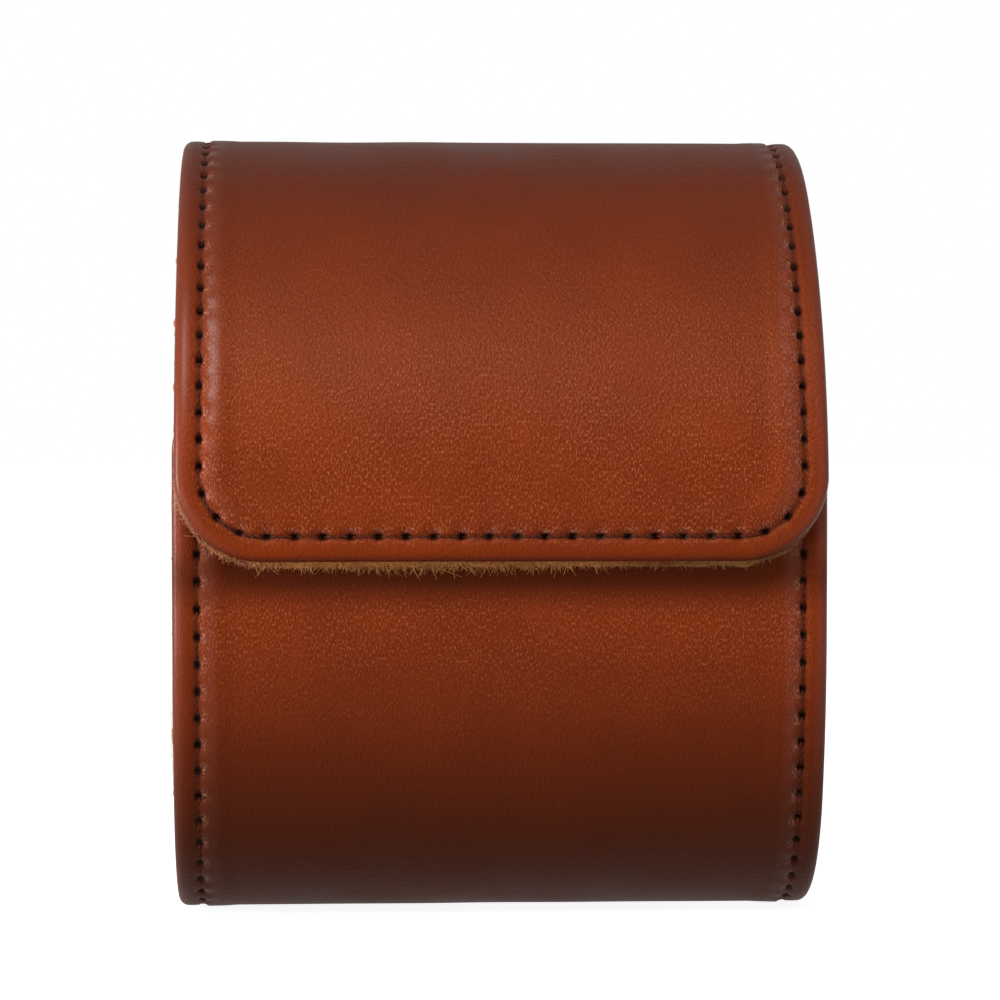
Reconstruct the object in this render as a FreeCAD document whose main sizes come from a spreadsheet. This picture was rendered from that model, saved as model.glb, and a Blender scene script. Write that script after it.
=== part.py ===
import FreeCAD
import Part
import Sketcher

import math
import os

# Driving sizes in millimetres, except angles in degrees and shares, which are plain ratios.
SIZES = {
    # Overall case
    "case_height": (94.0, "floor to the crown of the flap"),
    "case_depth": (70.0, "front of the flap to the back wall"),
    "shell_width": (76.6, "wall from open end to open end"),
    "flap_reveal": (0.4, "flap drawn in from each side of the shell"),
    # Wall layers from the outside inwards
    "leather": (1.1, "outer leather"),
    "padding": (0.7, "felt under the leather"),
    "board": (1.0, "stiffener board"),
    "lining": (1.0, "suede lining"),
    "glue_line": (0.05, "glue between two layers"),
    "flap_gap": (0.3, "flap lining to the front panel"),
    # Side outline, as shares of the height and depth
    "crest_share": (0.495, "height of the flap's foremost line"),
    "belly_share": (0.367, "height where the front starts to curve under"),
    "back_crest_share": (0.484, "height of the back's rearmost line"),
    "top_setback_share": (0.5438, "crown behind the front"),
    "top_round_share": (0.9395, "crown radius in its distance to the back"),
    "sole_front_share": (0.376, "front end of the flat sole behind the front"),
    "sole_back_share": (0.7317, "back end of the flat sole behind the front"),
    "front_foot_share": (0.9, "front foot radius in its run"),
    "back_foot_share": (0.745, "back foot radius in its run"),
    # Flap and front panel
    "flap_drop": (52.0, "crown down to the flap's lower edge"),
    "flap_overlap": (20.0, "front panel's top edge above the flap's edge"),
    "flap_corner": (11.5, "flap's corner radius"),
    "panel_corner": (6.0, "front panel's corner radius"),
    "lining_overhang": (1.0, "flap lining below the leather edge"),
    # Leather hinge
    "hinge_angle": (50.0, "hinge line behind the crown, turned about the crown's centre"),
    "hinge_length": (8.0, "unstiffened leather between the boards"),
    "hinge_slit": (0.1, "hinge leather to the flap's leather"),
    # Edges and stitching
    "hem_width": (3.6, "turned edge"),
    "hem_clearance": (0.2, "turned edge to the board"),
    "edge_round": (0.8, "rounding of the turned edge"),
    "stitch_inset": (2.9, "edge to the middle of the stitch row"),
    "thread_width": (0.6, "stitching thread across the row"),
    "thread_depth": (0.4, "stitching thread in its groove"),
    "thread_sunk": (0.05, "stitching thread below the leather's face"),
    # Magnets in the flap and the front panel
    "magnet_diameter": (10.0, "magnet disc"),
    "magnet_thickness": (1.2, "magnet disc"),
    "magnet_chamfer": (0.15, "magnet rim"),
    "magnet_play": (0.2, "magnet to the hole in the board"),
    "magnet_spacing": (38.0, "left magnet to right magnet"),
    # Cushion
    "strap_space": (3.6, "cushion to the front and back lining"),
    "cushion_height": (34.0, "thickness of the cushion"),
    "cushion_side_share": (0.82, "side radius in half the thickness"),
    "cushion_taper": (1.5, "cushion's ends drawn in all round"),
    "cushion_crown": (1.8, "end panel beyond the open end"),
    "cushion_end": (1.0, "edge of the end panel"),
    "cushion_cover": (0.9, "cushion cloth"),
    "cushion_lift": (0.3, "cushion above the lining"),
    "cushion_press": (0.5, "cushion flattened where it rests"),
    "dome_inner_share": (0.62, "dome's inner ring in the end panel"),
    "dome_outer_share": (0.88, "dome's outer ring in the end panel"),
    "dome_shoulder_share": (0.55, "height of the dome's outer ring in its crown"),
    # Cutting tools
    "lid_sweep": (150.0, "sector that frees the flap from the shell, from the hinge forwards"),
    "flap_sweep": (225.0, "sector that holds the flap, from the hinge forwards and down"),
    "overrun": (10.0, "cutting tools beyond what they cut"),
}

SEAM_TOLERANCE_DEG = 0.1
STEEPEST_SHARE = 0.9
RIM_TOLERANCE_SHARE = 0.01
END_STEP_SHARE = 0.5

PLANE_YZ = FreeCAD.Rotation(
    FreeCAD.Vector(0, 1, 0), FreeCAD.Vector(0, 0, 1), FreeCAD.Vector(1, 0, 0), "XYZ"
)
PLANE_XZ = FreeCAD.Rotation(
    FreeCAD.Vector(1, 0, 0), FreeCAD.Vector(0, 0, 1), FreeCAD.Vector(0, -1, 0), "XYZ"
)
WALL = "(sizes.leather + sizes.padding + sizes.board + sizes.lining + 3 * sizes.glue_line)"
STEP = f"({WALL} + sizes.flap_gap)"
FLAP_WIDTH = "(sizes.shell_width - 2 * sizes.flap_reveal)"
FLAP_EDGE = "(sizes.case_height - sizes.flap_drop)"
PANEL_TOP = "(sizes.case_height - sizes.flap_drop + sizes.flap_overlap)"
CROWN_Y = "(sizes.case_depth * (sizes.top_setback_share - 0.5))"
CROWN_RADIUS = "(sizes.case_depth * (1 - sizes.top_setback_share) * sizes.top_round_share)"

doc = FreeCAD.newDocument("watch_case")


def fill_sheet():
    """Puts every driving size in the sheet under its own name and reads it back."""
    sheet = doc.addObject("Spreadsheet::Sheet", "sizes")
    for row, (alias, (value, note)) in enumerate(SIZES.items(), start=1):
        sheet.set(f"A{row}", alias)
        sheet.set(f"B{row}", str(value))
        sheet.set(f"C{row}", note)
        sheet.setAlias(f"B{row}", alias)
    doc.recompute()
    return {alias: float(sheet.get(alias)) for alias in SIZES}


def two_arc_radius(run, rise, small):
    """Radius of the larger arc of a corner with a given run and rise, tangent to its smaller arc."""
    return (run**2 + (rise - small) ** 2 - small**2) / (2 * (run - small))


class SideView:
    """The case's outline seen from its open end, y to the back and z up."""

    def __init__(self, size):
        height = size["case_height"]
        depth = size["case_depth"]
        self.height = height
        layers = sum(size[key] for key in ("leather", "padding", "board", "lining"))
        self.wall = layers + 3 * size["glue_line"]
        self.step = self.wall + size["flap_gap"]
        self.front = -depth / 2
        self.back = depth / 2
        self.panel_front = self.front + self.step
        self.crest_z = size["crest_share"] * height
        self.belly_z = size["belly_share"] * height
        self.back_crest_z = size["back_crest_share"] * height
        self.crown_y = self.front + size["top_setback_share"] * depth
        self.crown_radius = (self.back - self.crown_y) * size["top_round_share"]
        self.crown_z = height - self.crown_radius
        self.sole_front = self.front + size["sole_front_share"] * depth
        self.sole_back = self.front + size["sole_back_share"] * depth
        self.front_foot = size["front_foot_share"] * (self.sole_front - self.panel_front)
        self.back_foot = size["back_foot_share"] * (self.back - self.sole_back)
        self.flap_radius = two_arc_radius(
            self.crown_y - self.front, height - self.crest_z, self.crown_radius
        )
        self.panel_radius = self.flap_radius - self.step
        self.belly_radius = two_arc_radius(
            self.sole_front - self.panel_front, self.belly_z, self.front_foot
        )
        self.upper_back_radius = two_arc_radius(
            self.back - self.crown_y, height - self.back_crest_z, self.crown_radius
        )
        self.lower_back_radius = two_arc_radius(
            self.back - self.sole_back, self.back_crest_z, self.back_foot
        )
        self.flap_width = size["shell_width"] - 2 * size["flap_reveal"]
        self.flap_edge = height - size["flap_drop"]
        self.panel_top = self.flap_edge + size["flap_overlap"]

    def front_wall(self, z):
        """Inner face of the lining at the front, at a height below the belly line."""
        centre = self.panel_front + self.belly_radius
        belly = centre - math.sqrt((self.belly_radius - self.wall) ** 2 - (self.belly_z - z) ** 2)
        foot_radius = self.front_foot - self.wall
        if abs(self.front_foot - z) < foot_radius:
            foot = self.sole_front - math.sqrt(foot_radius**2 - (self.front_foot - z) ** 2)
            return max(belly, foot)
        return belly

    def back_wall(self, z):
        """Inner face of the lining at the back, at a height below the back's rearmost line."""
        centre = self.back - self.lower_back_radius
        reach = self.lower_back_radius - self.wall
        wall = centre + math.sqrt(reach**2 - (self.back_crest_z - z) ** 2)
        foot_radius = self.back_foot - self.wall
        if abs(self.back_foot - z) < foot_radius and z < self.back_foot:
            foot = self.sole_back + math.sqrt(foot_radius**2 - (self.back_foot - z) ** 2)
            return min(wall, foot)
        return wall


def arc(centre, radius, start, end):
    """Counter-clockwise arc in sketch coordinates, with its ends as angles in radians."""
    circle = Part.Circle(FreeCAD.Vector(centre[0], centre[1], 0), FreeCAD.Vector(0, 0, 1), radius)
    return Part.ArcOfCircle(circle, start, end)


def line(start, end):
    """Straight line in sketch coordinates."""
    return Part.LineSegment(
        FreeCAD.Vector(start[0], start[1], 0), FreeCAD.Vector(end[0], end[1], 0)
    )


def bearing(start, end):
    """Direction from one point to another, in radians."""
    return math.atan2(end[1] - start[1], end[0] - start[0])


def new_sketch(name, rotation, curves, corners=()):
    """Closed chain of curves: each joins the next smoothly, except at the listed corners."""
    sketch = doc.addObject("Sketcher::SketchObject", name)
    sketch.Placement = FreeCAD.Placement(FreeCAD.Vector(), rotation)
    for curve in curves:
        sketch.addGeometry(curve, False)
    for here in range(len(curves)):
        there = (here + 1) % len(curves)
        kind = "Coincident" if here in corners else "Tangent"
        sketch.addConstraint(Sketcher.Constraint(kind, here, 2, there, 1))
    return sketch


def fix(sketch, name, expression, *arguments):
    """Adds a driving dimension, names it and binds it to the sheet."""
    index = sketch.addConstraint(Sketcher.Constraint(*arguments))
    sketch.renameConstraint(index, name)
    sketch.setExpression(f"Constraints.{name}", expression)


def shell_sketch(side):
    """Outer outline of the body: sole, back, crown, and the front panel under the flap."""
    foot = (side.sole_front, side.front_foot)
    belly = (side.panel_front + side.belly_radius, side.belly_z)
    heel = (side.sole_back, side.back_foot)
    lower = (side.back - side.lower_back_radius, side.back_crest_z)
    upper = (side.back - side.upper_back_radius, side.back_crest_z)
    crown = (side.crown_y, side.crown_z)
    panel = (side.front + side.flap_radius, side.crest_z)
    reach = side.panel_top - side.crest_z + side.wall + side.step
    lean = math.asin(min(reach / side.panel_radius, STEEPEST_SHARE))
    panel_end = (
        panel[0] - side.panel_radius * math.cos(lean),
        panel[1] + side.panel_radius * math.sin(lean),
    )
    turn_front = bearing(belly, foot)
    turn_heel = bearing(lower, heel)
    turn_crown = bearing(upper, crown)
    curves = [
        line((side.sole_front, 0), (side.sole_back, 0)),
        arc(heel, side.back_foot, -math.pi / 2, turn_heel),
        arc(lower, side.lower_back_radius, turn_heel, 0),
        arc(upper, side.upper_back_radius, 0, turn_crown),
        arc(crown, side.crown_radius, turn_crown, math.pi / 2),
        line((side.crown_y, side.height), panel_end),
        arc(panel, side.panel_radius, math.pi - lean, math.pi),
        line((side.panel_front, side.crest_z), (side.panel_front, side.belly_z)),
        arc(belly, side.belly_radius, math.pi, turn_front % (2 * math.pi)),
        arc(foot, side.front_foot, turn_front % (2 * math.pi), 1.5 * math.pi),
    ]
    sketch = new_sketch("shell_outline", PLANE_YZ, curves, corners=(4, 5))
    sketch.addConstraint(Sketcher.Constraint("PointOnObject", 0, 1, -1))
    sketch.addConstraint(Sketcher.Constraint("Horizontal", 0))
    sketch.addConstraint(Sketcher.Constraint("Vertical", 7))
    sketch.addConstraint(Sketcher.Constraint("Horizontal", 2, 3, 2, 2))
    depth, height = "sizes.case_depth", "sizes.case_height"
    foot_run = f"({depth} * sizes.sole_front_share - {STEP})"
    heel_run = f"{depth} * (1 - sizes.sole_back_share)"
    across = {
        "sole_front": (f"{depth} * (sizes.sole_front_share - 0.5)", 0, 1, side.sole_front),
        "sole_back": (f"{depth} * (sizes.sole_back_share - 0.5)", 0, 2, side.sole_back),
        "panel_front": (f"{STEP} - {depth} / 2", 7, 1, side.panel_front),
        "crown_y": (CROWN_Y, 4, 3, side.crown_y),
        "crown_end": (CROWN_Y, 4, 2, side.crown_y),
        "back": (f"{depth} / 2", 2, 2, side.back),
    }
    up = {
        "crest": (f"{height} * sizes.crest_share", 7, 1, side.crest_z),
        "belly": (f"{height} * sizes.belly_share", 7, 2, side.belly_z),
        "crown_z": (f"{height} - {CROWN_RADIUS}", 4, 3, side.crown_z),
        "back_crest": (f"{height} * sizes.back_crest_share", 2, 2, side.back_crest_z),
    }
    radii = {
        "front_foot": (f"{foot_run} * sizes.front_foot_share", 9, side.front_foot),
        "back_foot": (f"{heel_run} * sizes.back_foot_share", 1, side.back_foot),
        "crown_radius": (CROWN_RADIUS, 4, side.crown_radius),
        "panel_radius": (
            f"flap_outline.Constraints.flap_radius / 1mm - {STEP}", 6, side.panel_radius
        ),
    }
    for name, (rule, curve, end, value) in across.items():
        fix(sketch, name, rule, "DistanceX", -1, 1, curve, end, value)
    for name, (rule, curve, end, value) in up.items():
        fix(sketch, name, rule, "DistanceY", -1, 1, curve, end, value)
    for name, (rule, curve, value) in radii.items():
        fix(sketch, name, rule, "Radius", curve, value)
    index = sketch.addConstraint(Sketcher.Constraint("DistanceY", -1, 1, 6, 1, panel_end[1]))
    sketch.renameConstraint(index, "panel_end")
    return sketch


def flap_sketch(side, size):
    """Outer outline of the flap: crown and front, closed below and behind by straight lines."""
    low = side.flap_edge - size["lining_overhang"] - size["overrun"]
    crown = (side.crown_y, side.crown_z)
    front = (side.front + side.flap_radius, side.crest_z)
    turn = bearing(front, crown)
    rear = side.crown_y + side.crown_radius
    crest = max(side.crest_z, low + size["overrun"] / 2)
    curves = [
        line((side.front, low), (rear, low)),
        line((rear, low), (rear, side.crown_z)),
        arc(crown, side.crown_radius, 0, turn),
        arc(front, side.flap_radius, turn, math.pi),
        line((side.front, crest), (side.front, low)),
    ]
    sketch = new_sketch("flap_outline", PLANE_YZ, curves, corners=(0, 4))
    sketch.addConstraint(Sketcher.Constraint("Horizontal", 0))
    sketch.addConstraint(Sketcher.Constraint("Vertical", 1))
    sketch.addConstraint(Sketcher.Constraint("Vertical", 4))
    low_rule = f"{FLAP_EDGE} - sizes.lining_overhang - sizes.overrun"
    crest_rule = "sizes.case_height * sizes.crest_share"
    crown_rule = f"sizes.case_height - {CROWN_RADIUS}"
    fix(sketch, "front", "sizes.case_depth / 2", "DistanceX", 4, 1, -1, 1, -side.front)
    fix(sketch, "low", low_rule, "DistanceY", -1, 1, 0, 1, low)
    fix(sketch, "crest", crest_rule, "DistanceY", -1, 1, 4, 1, side.crest_z)
    fix(sketch, "crown_radius", CROWN_RADIUS, "Radius", 2, side.crown_radius)
    fix(sketch, "crown_y", CROWN_Y, "DistanceX", -1, 1, 2, 3, side.crown_y)
    fix(sketch, "crown_z", crown_rule, "DistanceY", -1, 1, 2, 3, side.crown_z)
    index = sketch.addConstraint(Sketcher.Constraint("Radius", 3, side.flap_radius))
    sketch.renameConstraint(index, "flap_radius")
    sketch.setDriving(index, False)
    return sketch


def front_sketch(name, width, edge, corner, far, rules):
    """Front view of a panel: two rounded corners at its edge and straight sides that end at far."""
    way = 1 if far > edge else -1
    half = width / 2
    inner = half - corner
    level = edge + way * corner
    if way > 0:
        curves = [
            line((-inner, edge), (inner, edge)),
            arc((inner, level), corner, -math.pi / 2, 0),
            line((half, level), (half, far)),
            line((half, far), (-half, far)),
            line((-half, far), (-half, level)),
            arc((-inner, level), corner, math.pi, 1.5 * math.pi),
        ]
    else:
        curves = [
            line((inner, edge), (-inner, edge)),
            arc((-inner, level), corner, math.pi / 2, math.pi),
            line((-half, level), (-half, far)),
            line((-half, far), (half, far)),
            line((half, far), (half, level)),
            arc((inner, level), corner, 0, math.pi / 2),
        ]
    sketch = new_sketch(name, PLANE_XZ, curves, corners=(2, 3))
    sketch.addConstraint(Sketcher.Constraint("Horizontal", 0))
    sketch.addConstraint(Sketcher.Constraint("Vertical", 2))
    sketch.addConstraint(Sketcher.Constraint("Vertical", 4))
    sketch.addConstraint(Sketcher.Constraint("Horizontal", 3))
    sketch.addConstraint(Sketcher.Constraint("Equal", 1, 5))
    right, left = (1, 2) if way > 0 else (2, 1)
    reach = (-1, 1, 3, 1) if far > 0 else (3, 1, -1, 1)
    fix(sketch, "corner", rules["corner"], "Radius", 1, corner)
    fix(sketch, "width", rules["width"], "DistanceX", 3, left, 3, right, width)
    fix(sketch, "half", f"{rules['width']} / 2", "DistanceX", -1, 1, 3, right, half)
    fix(sketch, "edge", rules["edge"], "DistanceY", -1, 1, 0, 1, edge)
    fix(sketch, "far", rules["far"], "DistanceY", *reach, abs(far))
    return sketch


def offset(name, source, rule, filled=False):
    """Outline moved outwards by the rule, or the band between the two when it is filled."""
    ring = doc.addObject("Part::Offset2D", name)
    ring.Source = source
    ring.Join = "Intersection"
    ring.setExpression("Value", rule)
    ring.Fill = filled
    return ring


def extrude(name, base, direction, forward, reverse=None):
    """Solid of an outline pushed along a direction, both ways by half where no reverse is given."""
    solid = doc.addObject("Part::Extrusion", name)
    solid.Base = base
    solid.DirMode = "Custom"
    solid.Dir = FreeCAD.Vector(*direction)
    solid.Solid = True
    solid.setExpression("LengthFwd", forward)
    if reverse is None:
        solid.Symmetric = True
    else:
        solid.setExpression("LengthRev", reverse)
    return solid


def boolean(kind, name, first, *others):
    """Cut, Common or MultiFuse of objects."""
    result = doc.addObject(f"Part::{kind}", name)
    if kind == "MultiFuse":
        result.Shapes = [first, *others]
    else:
        result.Base = first
        result.Tool = others[0]
    if hasattr(result, "Refine"):
        result.Refine = True
    return result


def layer(name, outline, top, bottom):
    """Closed band of wall between two depths under an outline, as wide as the tools need."""
    source = outline if top is None else offset(f"{name}_top", outline, f"-({top})")
    thickness = bottom if top is None else f"{bottom} - ({top})"
    band = offset(f"{name}_band", source, f"-({thickness})", filled=True)
    return extrude(f"{name}_layer", band, (1, 0, 0), "sizes.shell_width + 2 * sizes.overrun")


def rim_rounded(name, base, outline, front, half_width, seams, side, radius):
    """Wall with the outer corner of its turned edge rounded, but not where it meets the hinge."""
    doc.recompute()
    near = side.wall * RIM_TOLERANCE_SHARE

    def on_rim(edge):
        """Tells whether an edge runs along the outer face and along the wall's rim."""
        if edge.Length < near:
            return False
        low, high = edge.ParameterRange
        spot = edge.valueAt((low + high) / 2)
        flat = FreeCAD.Vector(0, spot.y, spot.z)
        if outline.Shape.distToShape(Part.Vertex(flat))[0] > near:
            return False
        at_side = abs(abs(spot.x) - half_width) < near
        upright = FreeCAD.Vector(spot.x, 0, spot.z)
        at_front = spot.y < side.crown_y and front.Shape.distToShape(Part.Vertex(upright))[0] < near
        turn = math.degrees(math.atan2(spot.z - side.crown_z, spot.y - side.crown_y))
        return (at_side or at_front) and all(
            abs(turn - angle) > SEAM_TOLERANCE_DEG for angle in seams
        )

    result = doc.addObject("Part::Fillet", name)
    result.Base = base
    result.Edges = [
        (number, radius, radius)
        for number, edge in enumerate(base.Shape.Edges, start=1)
        if on_rim(edge)
    ]
    return result


def sector(name, side, size, start, sweep):
    """Round sector about the crown's centre, from a bearing in degrees and counter-clockwise."""
    solid = doc.addObject("Part::Cylinder", name)
    solid.Angle = sweep
    solid.setExpression("Radius", "2 * sizes.case_height + 2 * sizes.case_depth")
    solid.setExpression("Height", "sizes.shell_width + 4 * sizes.overrun")
    turn = FreeCAD.Rotation(FreeCAD.Vector(1, 0, 0), start)
    half = (size["shell_width"] + 4 * size["overrun"]) / 2
    solid.Placement = FreeCAD.Placement(
        FreeCAD.Vector(-half, side.crown_y, side.crown_z), turn.multiply(PLANE_YZ)
    )
    return solid


def block(name, lengths, base):
    """Box with its lengths and lowest corner bound to the sheet."""
    solid = doc.addObject("Part::Box", name)
    for key, rule in zip(("Length", "Width", "Height"), lengths):
        solid.setExpression(key, rule)
    for key, rule in zip("xyz", base):
        solid.setExpression(f"Placement.Base.{key}", rule)
    return solid


class Cutters:
    """Front-view prisms that give every layer its outline, at any inset from the edge."""

    def __init__(self, side, size):
        self.made = {}
        half_hinge = math.degrees(size["hinge_length"] / 2 / side.crown_radius)
        slit = math.degrees(size["hinge_slit"] / side.crown_radius)
        middle = 90 - size["hinge_angle"]
        self.shell_plane = middle - half_hinge
        self.flap_plane = middle + half_hinge
        self.slit_plane = self.flap_plane - slit
        self.lid = sector("lid_sector", side, size, self.shell_plane, size["lid_sweep"])
        self.flap = sector("flap_sector", side, size, self.flap_plane, size["flap_sweep"])
        self.hinge = sector(
            "hinge_sector", side, size, self.shell_plane, self.slit_plane - self.shell_plane
        )
        self.flap_front = front_sketch(
            "flap_front", side.flap_width, side.flap_edge, size["flap_corner"],
            side.height + size["overrun"] * 2,
            {"corner": "sizes.flap_corner", "width": FLAP_WIDTH, "edge": FLAP_EDGE,
             "far": "sizes.case_height + 2 * sizes.overrun"},
        )
        self.panel_front = front_sketch(
            "panel_front", size["shell_width"], side.panel_top, size["panel_corner"],
            -size["overrun"] * 2,
            {"corner": "sizes.panel_corner", "width": "sizes.shell_width", "edge": PANEL_TOP,
             "far": "2 * sizes.overrun"},
        )

    def keep(self, part, inset):
        """Solid that a layer of the flap, shell or hinge keeps to, its edge drawn in by the inset."""
        key = (part, inset)
        if key not in self.made:
            name = f"{part}_keep_{len(self.made)}"
            self.made[key] = getattr(self, f"keep_{part}")(name, inset)
        return self.made[key]

    def drawn_in(self, name, outline, inset):
        """Outline drawn in by the inset, or the outline itself without one."""
        return outline if inset is None else offset(f"{name}_line", outline, f"-({inset})")

    def rear_block(self, name, inset, reach, base):
        """Block behind the crown, as wide as the shell less the inset on both sides."""
        shift = inset or "0"
        return block(
            f"{name}_block",
            (f"sizes.shell_width - 2 * ({shift})", "sizes.case_depth", reach),
            (f"{shift} - sizes.shell_width / 2", CROWN_Y, base),
        )

    def keep_flap(self, name, inset):
        """Flap's prism in front of the hinge."""
        outline = self.drawn_in(name, self.flap_front, inset)
        prism = extrude(
            f"{name}_prism", outline, (0, 1, 0), "2 * sizes.case_depth + 2 * sizes.overrun"
        )
        return boolean("Common", name, prism, self.flap)

    def keep_shell(self, name, inset):
        """Front panel's prism and the block behind the crown, without the lid's sector."""
        outline = self.drawn_in(name, self.panel_front, inset)
        prism = extrude(
            f"{name}_prism", outline, (0, 1, 0), CROWN_Y, "sizes.case_depth + sizes.overrun"
        )
        rear = self.rear_block(
            name, inset, "sizes.case_height + 4 * sizes.overrun", "-2 * sizes.overrun"
        )
        open_rear = boolean("Cut", f"{name}_rear", rear, self.lid)
        return boolean("MultiFuse", name, prism, open_rear)

    def keep_hinge(self, name, inset):
        """Short wedge between the two hinge planes."""
        rear = self.rear_block(name, inset, "sizes.case_height + sizes.overrun", "0")
        return boolean("Common", name, rear, self.hinge)


LEATHER_TOP = "sizes.leather + sizes.glue_line"
BOARD_TOP = f"{LEATHER_TOP} + sizes.padding + sizes.glue_line"
LINING_TOP = f"{BOARD_TOP} + sizes.board + sizes.glue_line"
HEM_BOTTOM = f"{BOARD_TOP} + sizes.board"
BOARD_INSET = "sizes.hem_width + sizes.hem_clearance"
ROW_OUTER = "sizes.stitch_inset - sizes.thread_width / 2"
ROW_INNER = "sizes.stitch_inset + sizes.thread_width / 2"


def stitched_leather(part, outline, cutters, side, size):
    """Outer leather with its turned edge and a stitching groove, and the thread in the groove."""
    skin = boolean(
        "Common", f"{part}_skin", layer(f"{part}_skin", outline, None, "sizes.leather"),
        cutters.keep(part, None),
    )
    frame = boolean(
        "Cut", f"{part}_hem_frame", cutters.keep(part, None), cutters.keep(part, "sizes.hem_width")
    )
    hem = boolean(
        "Common", f"{part}_hem", layer(f"{part}_hem", outline, "sizes.leather", HEM_BOTTOM), frame
    )
    square = boolean("MultiFuse", f"{part}_square", skin, hem)
    front = cutters.flap_front if part == "flap" else cutters.panel_front
    width = side.flap_width if part == "flap" else size["shell_width"]
    whole = rim_rounded(
        f"{part}_whole", square, outline, front, width / 2,
        (cutters.shell_plane, cutters.flap_plane, cutters.slit_plane), side, size["edge_round"],
    )
    bed_frame = boolean(
        "Cut", f"{part}_bed_frame",
        cutters.keep(part, f"{ROW_OUTER} - sizes.glue_line"),
        cutters.keep(part, f"{ROW_INNER} + sizes.glue_line"),
    )
    bed = boolean(
        "Common", f"{part}_bed",
        layer(f"{part}_bed", outline, "-sizes.glue_line", "sizes.thread_depth"),
        bed_frame,
    )
    leather = boolean("Cut", f"{part}_grooved", whole, bed)
    row_frame = boolean(
        "Cut", f"{part}_row_frame", cutters.keep(part, ROW_OUTER), cutters.keep(part, ROW_INNER)
    )
    thread = boolean(
        "Common", f"{part}_row",
        layer(f"{part}_row", outline, "sizes.thread_sunk", "sizes.thread_depth - sizes.glue_line"),
        row_frame,
    )
    return leather, thread


def magnet_spot(side, size, sign, depth):
    """Centre and outward normal of a magnet, at a depth under the flap's outer face."""
    level = (side.flap_edge + side.panel_top) / 2
    radius = side.flap_radius - depth
    lean = math.asin(max(0, min((level - side.crest_z) / radius, STEEPEST_SHARE)))
    centre_y = side.front + side.flap_radius
    x = sign * size["magnet_spacing"] / 2
    height = side.crest_z + radius * math.sin(lean) if lean > 0 else level
    place = FreeCAD.Vector(x, centre_y - radius * math.cos(lean), height)
    return place, FreeCAD.Vector(0, -math.cos(lean), math.sin(lean))


def disc(name, place, normal, radius_rule, height_rule, height):
    """Cylinder centred on a place, with its axis along a normal."""
    solid = doc.addObject("Part::Cylinder", name)
    solid.setExpression("Radius", radius_rule)
    solid.setExpression("Height", height_rule)
    turn = FreeCAD.Rotation(FreeCAD.Vector(0, 0, 1), normal)
    solid.Placement = FreeCAD.Placement(place - normal * (height / 2), turn)
    return solid


def magnets(side, size, part, surface):
    """Pair of magnet discs in one wall, and the holes that they sit in."""
    found = []
    seat_top = size["leather"] + size["glue_line"]
    seat_depth = size["padding"] + size["glue_line"] + size["board"]
    for word, sign in (("left", -1), ("right", 1)):
        place, normal = magnet_spot(side, size, sign, surface + seat_top + seat_depth / 2)
        hole = disc(
            f"{part}_seat_{word}", place, normal,
            "sizes.magnet_diameter / 2 + sizes.magnet_play", "2 * sizes.overrun", 2 * size["overrun"],
        )
        body = disc(
            f"{part}_disc_{word}", place, normal,
            "sizes.magnet_diameter / 2", "sizes.magnet_thickness", size["magnet_thickness"],
        )
        chamfer = doc.addObject("Part::Chamfer", f"{part}_magnet_{word}")
        chamfer.Base = body
        doc.recompute()
        rims = [n for n, edge in enumerate(body.Shape.Edges, start=1) if edge.Closed]
        chamfer.Edges = [(n, size["magnet_chamfer"], size["magnet_chamfer"]) for n in rims]
        found.append((word, hole, chamfer))
    return found


def wall_layers(part, outline, cutters, side, size, surface, nodes):
    """Leather, felt, board, lining, thread and magnets of one stiff part of the wall."""
    leather, thread = stitched_leather(part, outline, cutters, side, size)
    nodes[f"{part}_leather"] = leather
    nodes[f"{part}_thread"] = thread
    felt = boolean(
        "Common", f"{part}_felt",
        layer(f"{part}_felt", outline, LEATHER_TOP, f"{LEATHER_TOP} + sizes.padding"),
        cutters.keep(part, BOARD_INSET),
    )
    board = boolean(
        "Common", f"{part}_blank",
        layer(f"{part}_blank", outline, BOARD_TOP, HEM_BOTTOM),
        cutters.keep(part, BOARD_INSET),
    )
    for word, hole, magnet in magnets(side, size, part, surface):
        felt = boolean("Cut", f"{part}_felt_{word}", felt, hole)
        board = boolean("Cut", f"{part}_blank_{word}", board, hole)
        nodes[f"{part}_magnet_{word}"] = magnet
    nodes[f"{part}_padding"] = felt
    nodes[f"{part}_board"] = board


def lining(part, outline, cutters, nodes, keep=None):
    """Suede lining of one part of the wall."""
    band = layer(f"{part}_suede", outline, LINING_TOP, WALL)
    nodes[f"{part}_lining"] = boolean(
        "Common", f"{part}_suede", band, keep or cutters.keep(part, None)
    )


def flap_lining_keep(cutters):
    """Flap's prism lowered by the overhang, so that the suede shows below the leather."""
    prism = extrude(
        "suede_prism", cutters.flap_front, (0, 1, 0), "2 * sizes.case_depth + 2 * sizes.overrun"
    )
    prism.setExpression("Placement.Base.z", "-sizes.lining_overhang")
    return boolean("Common", "suede_keep", prism, cutters.flap)


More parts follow.
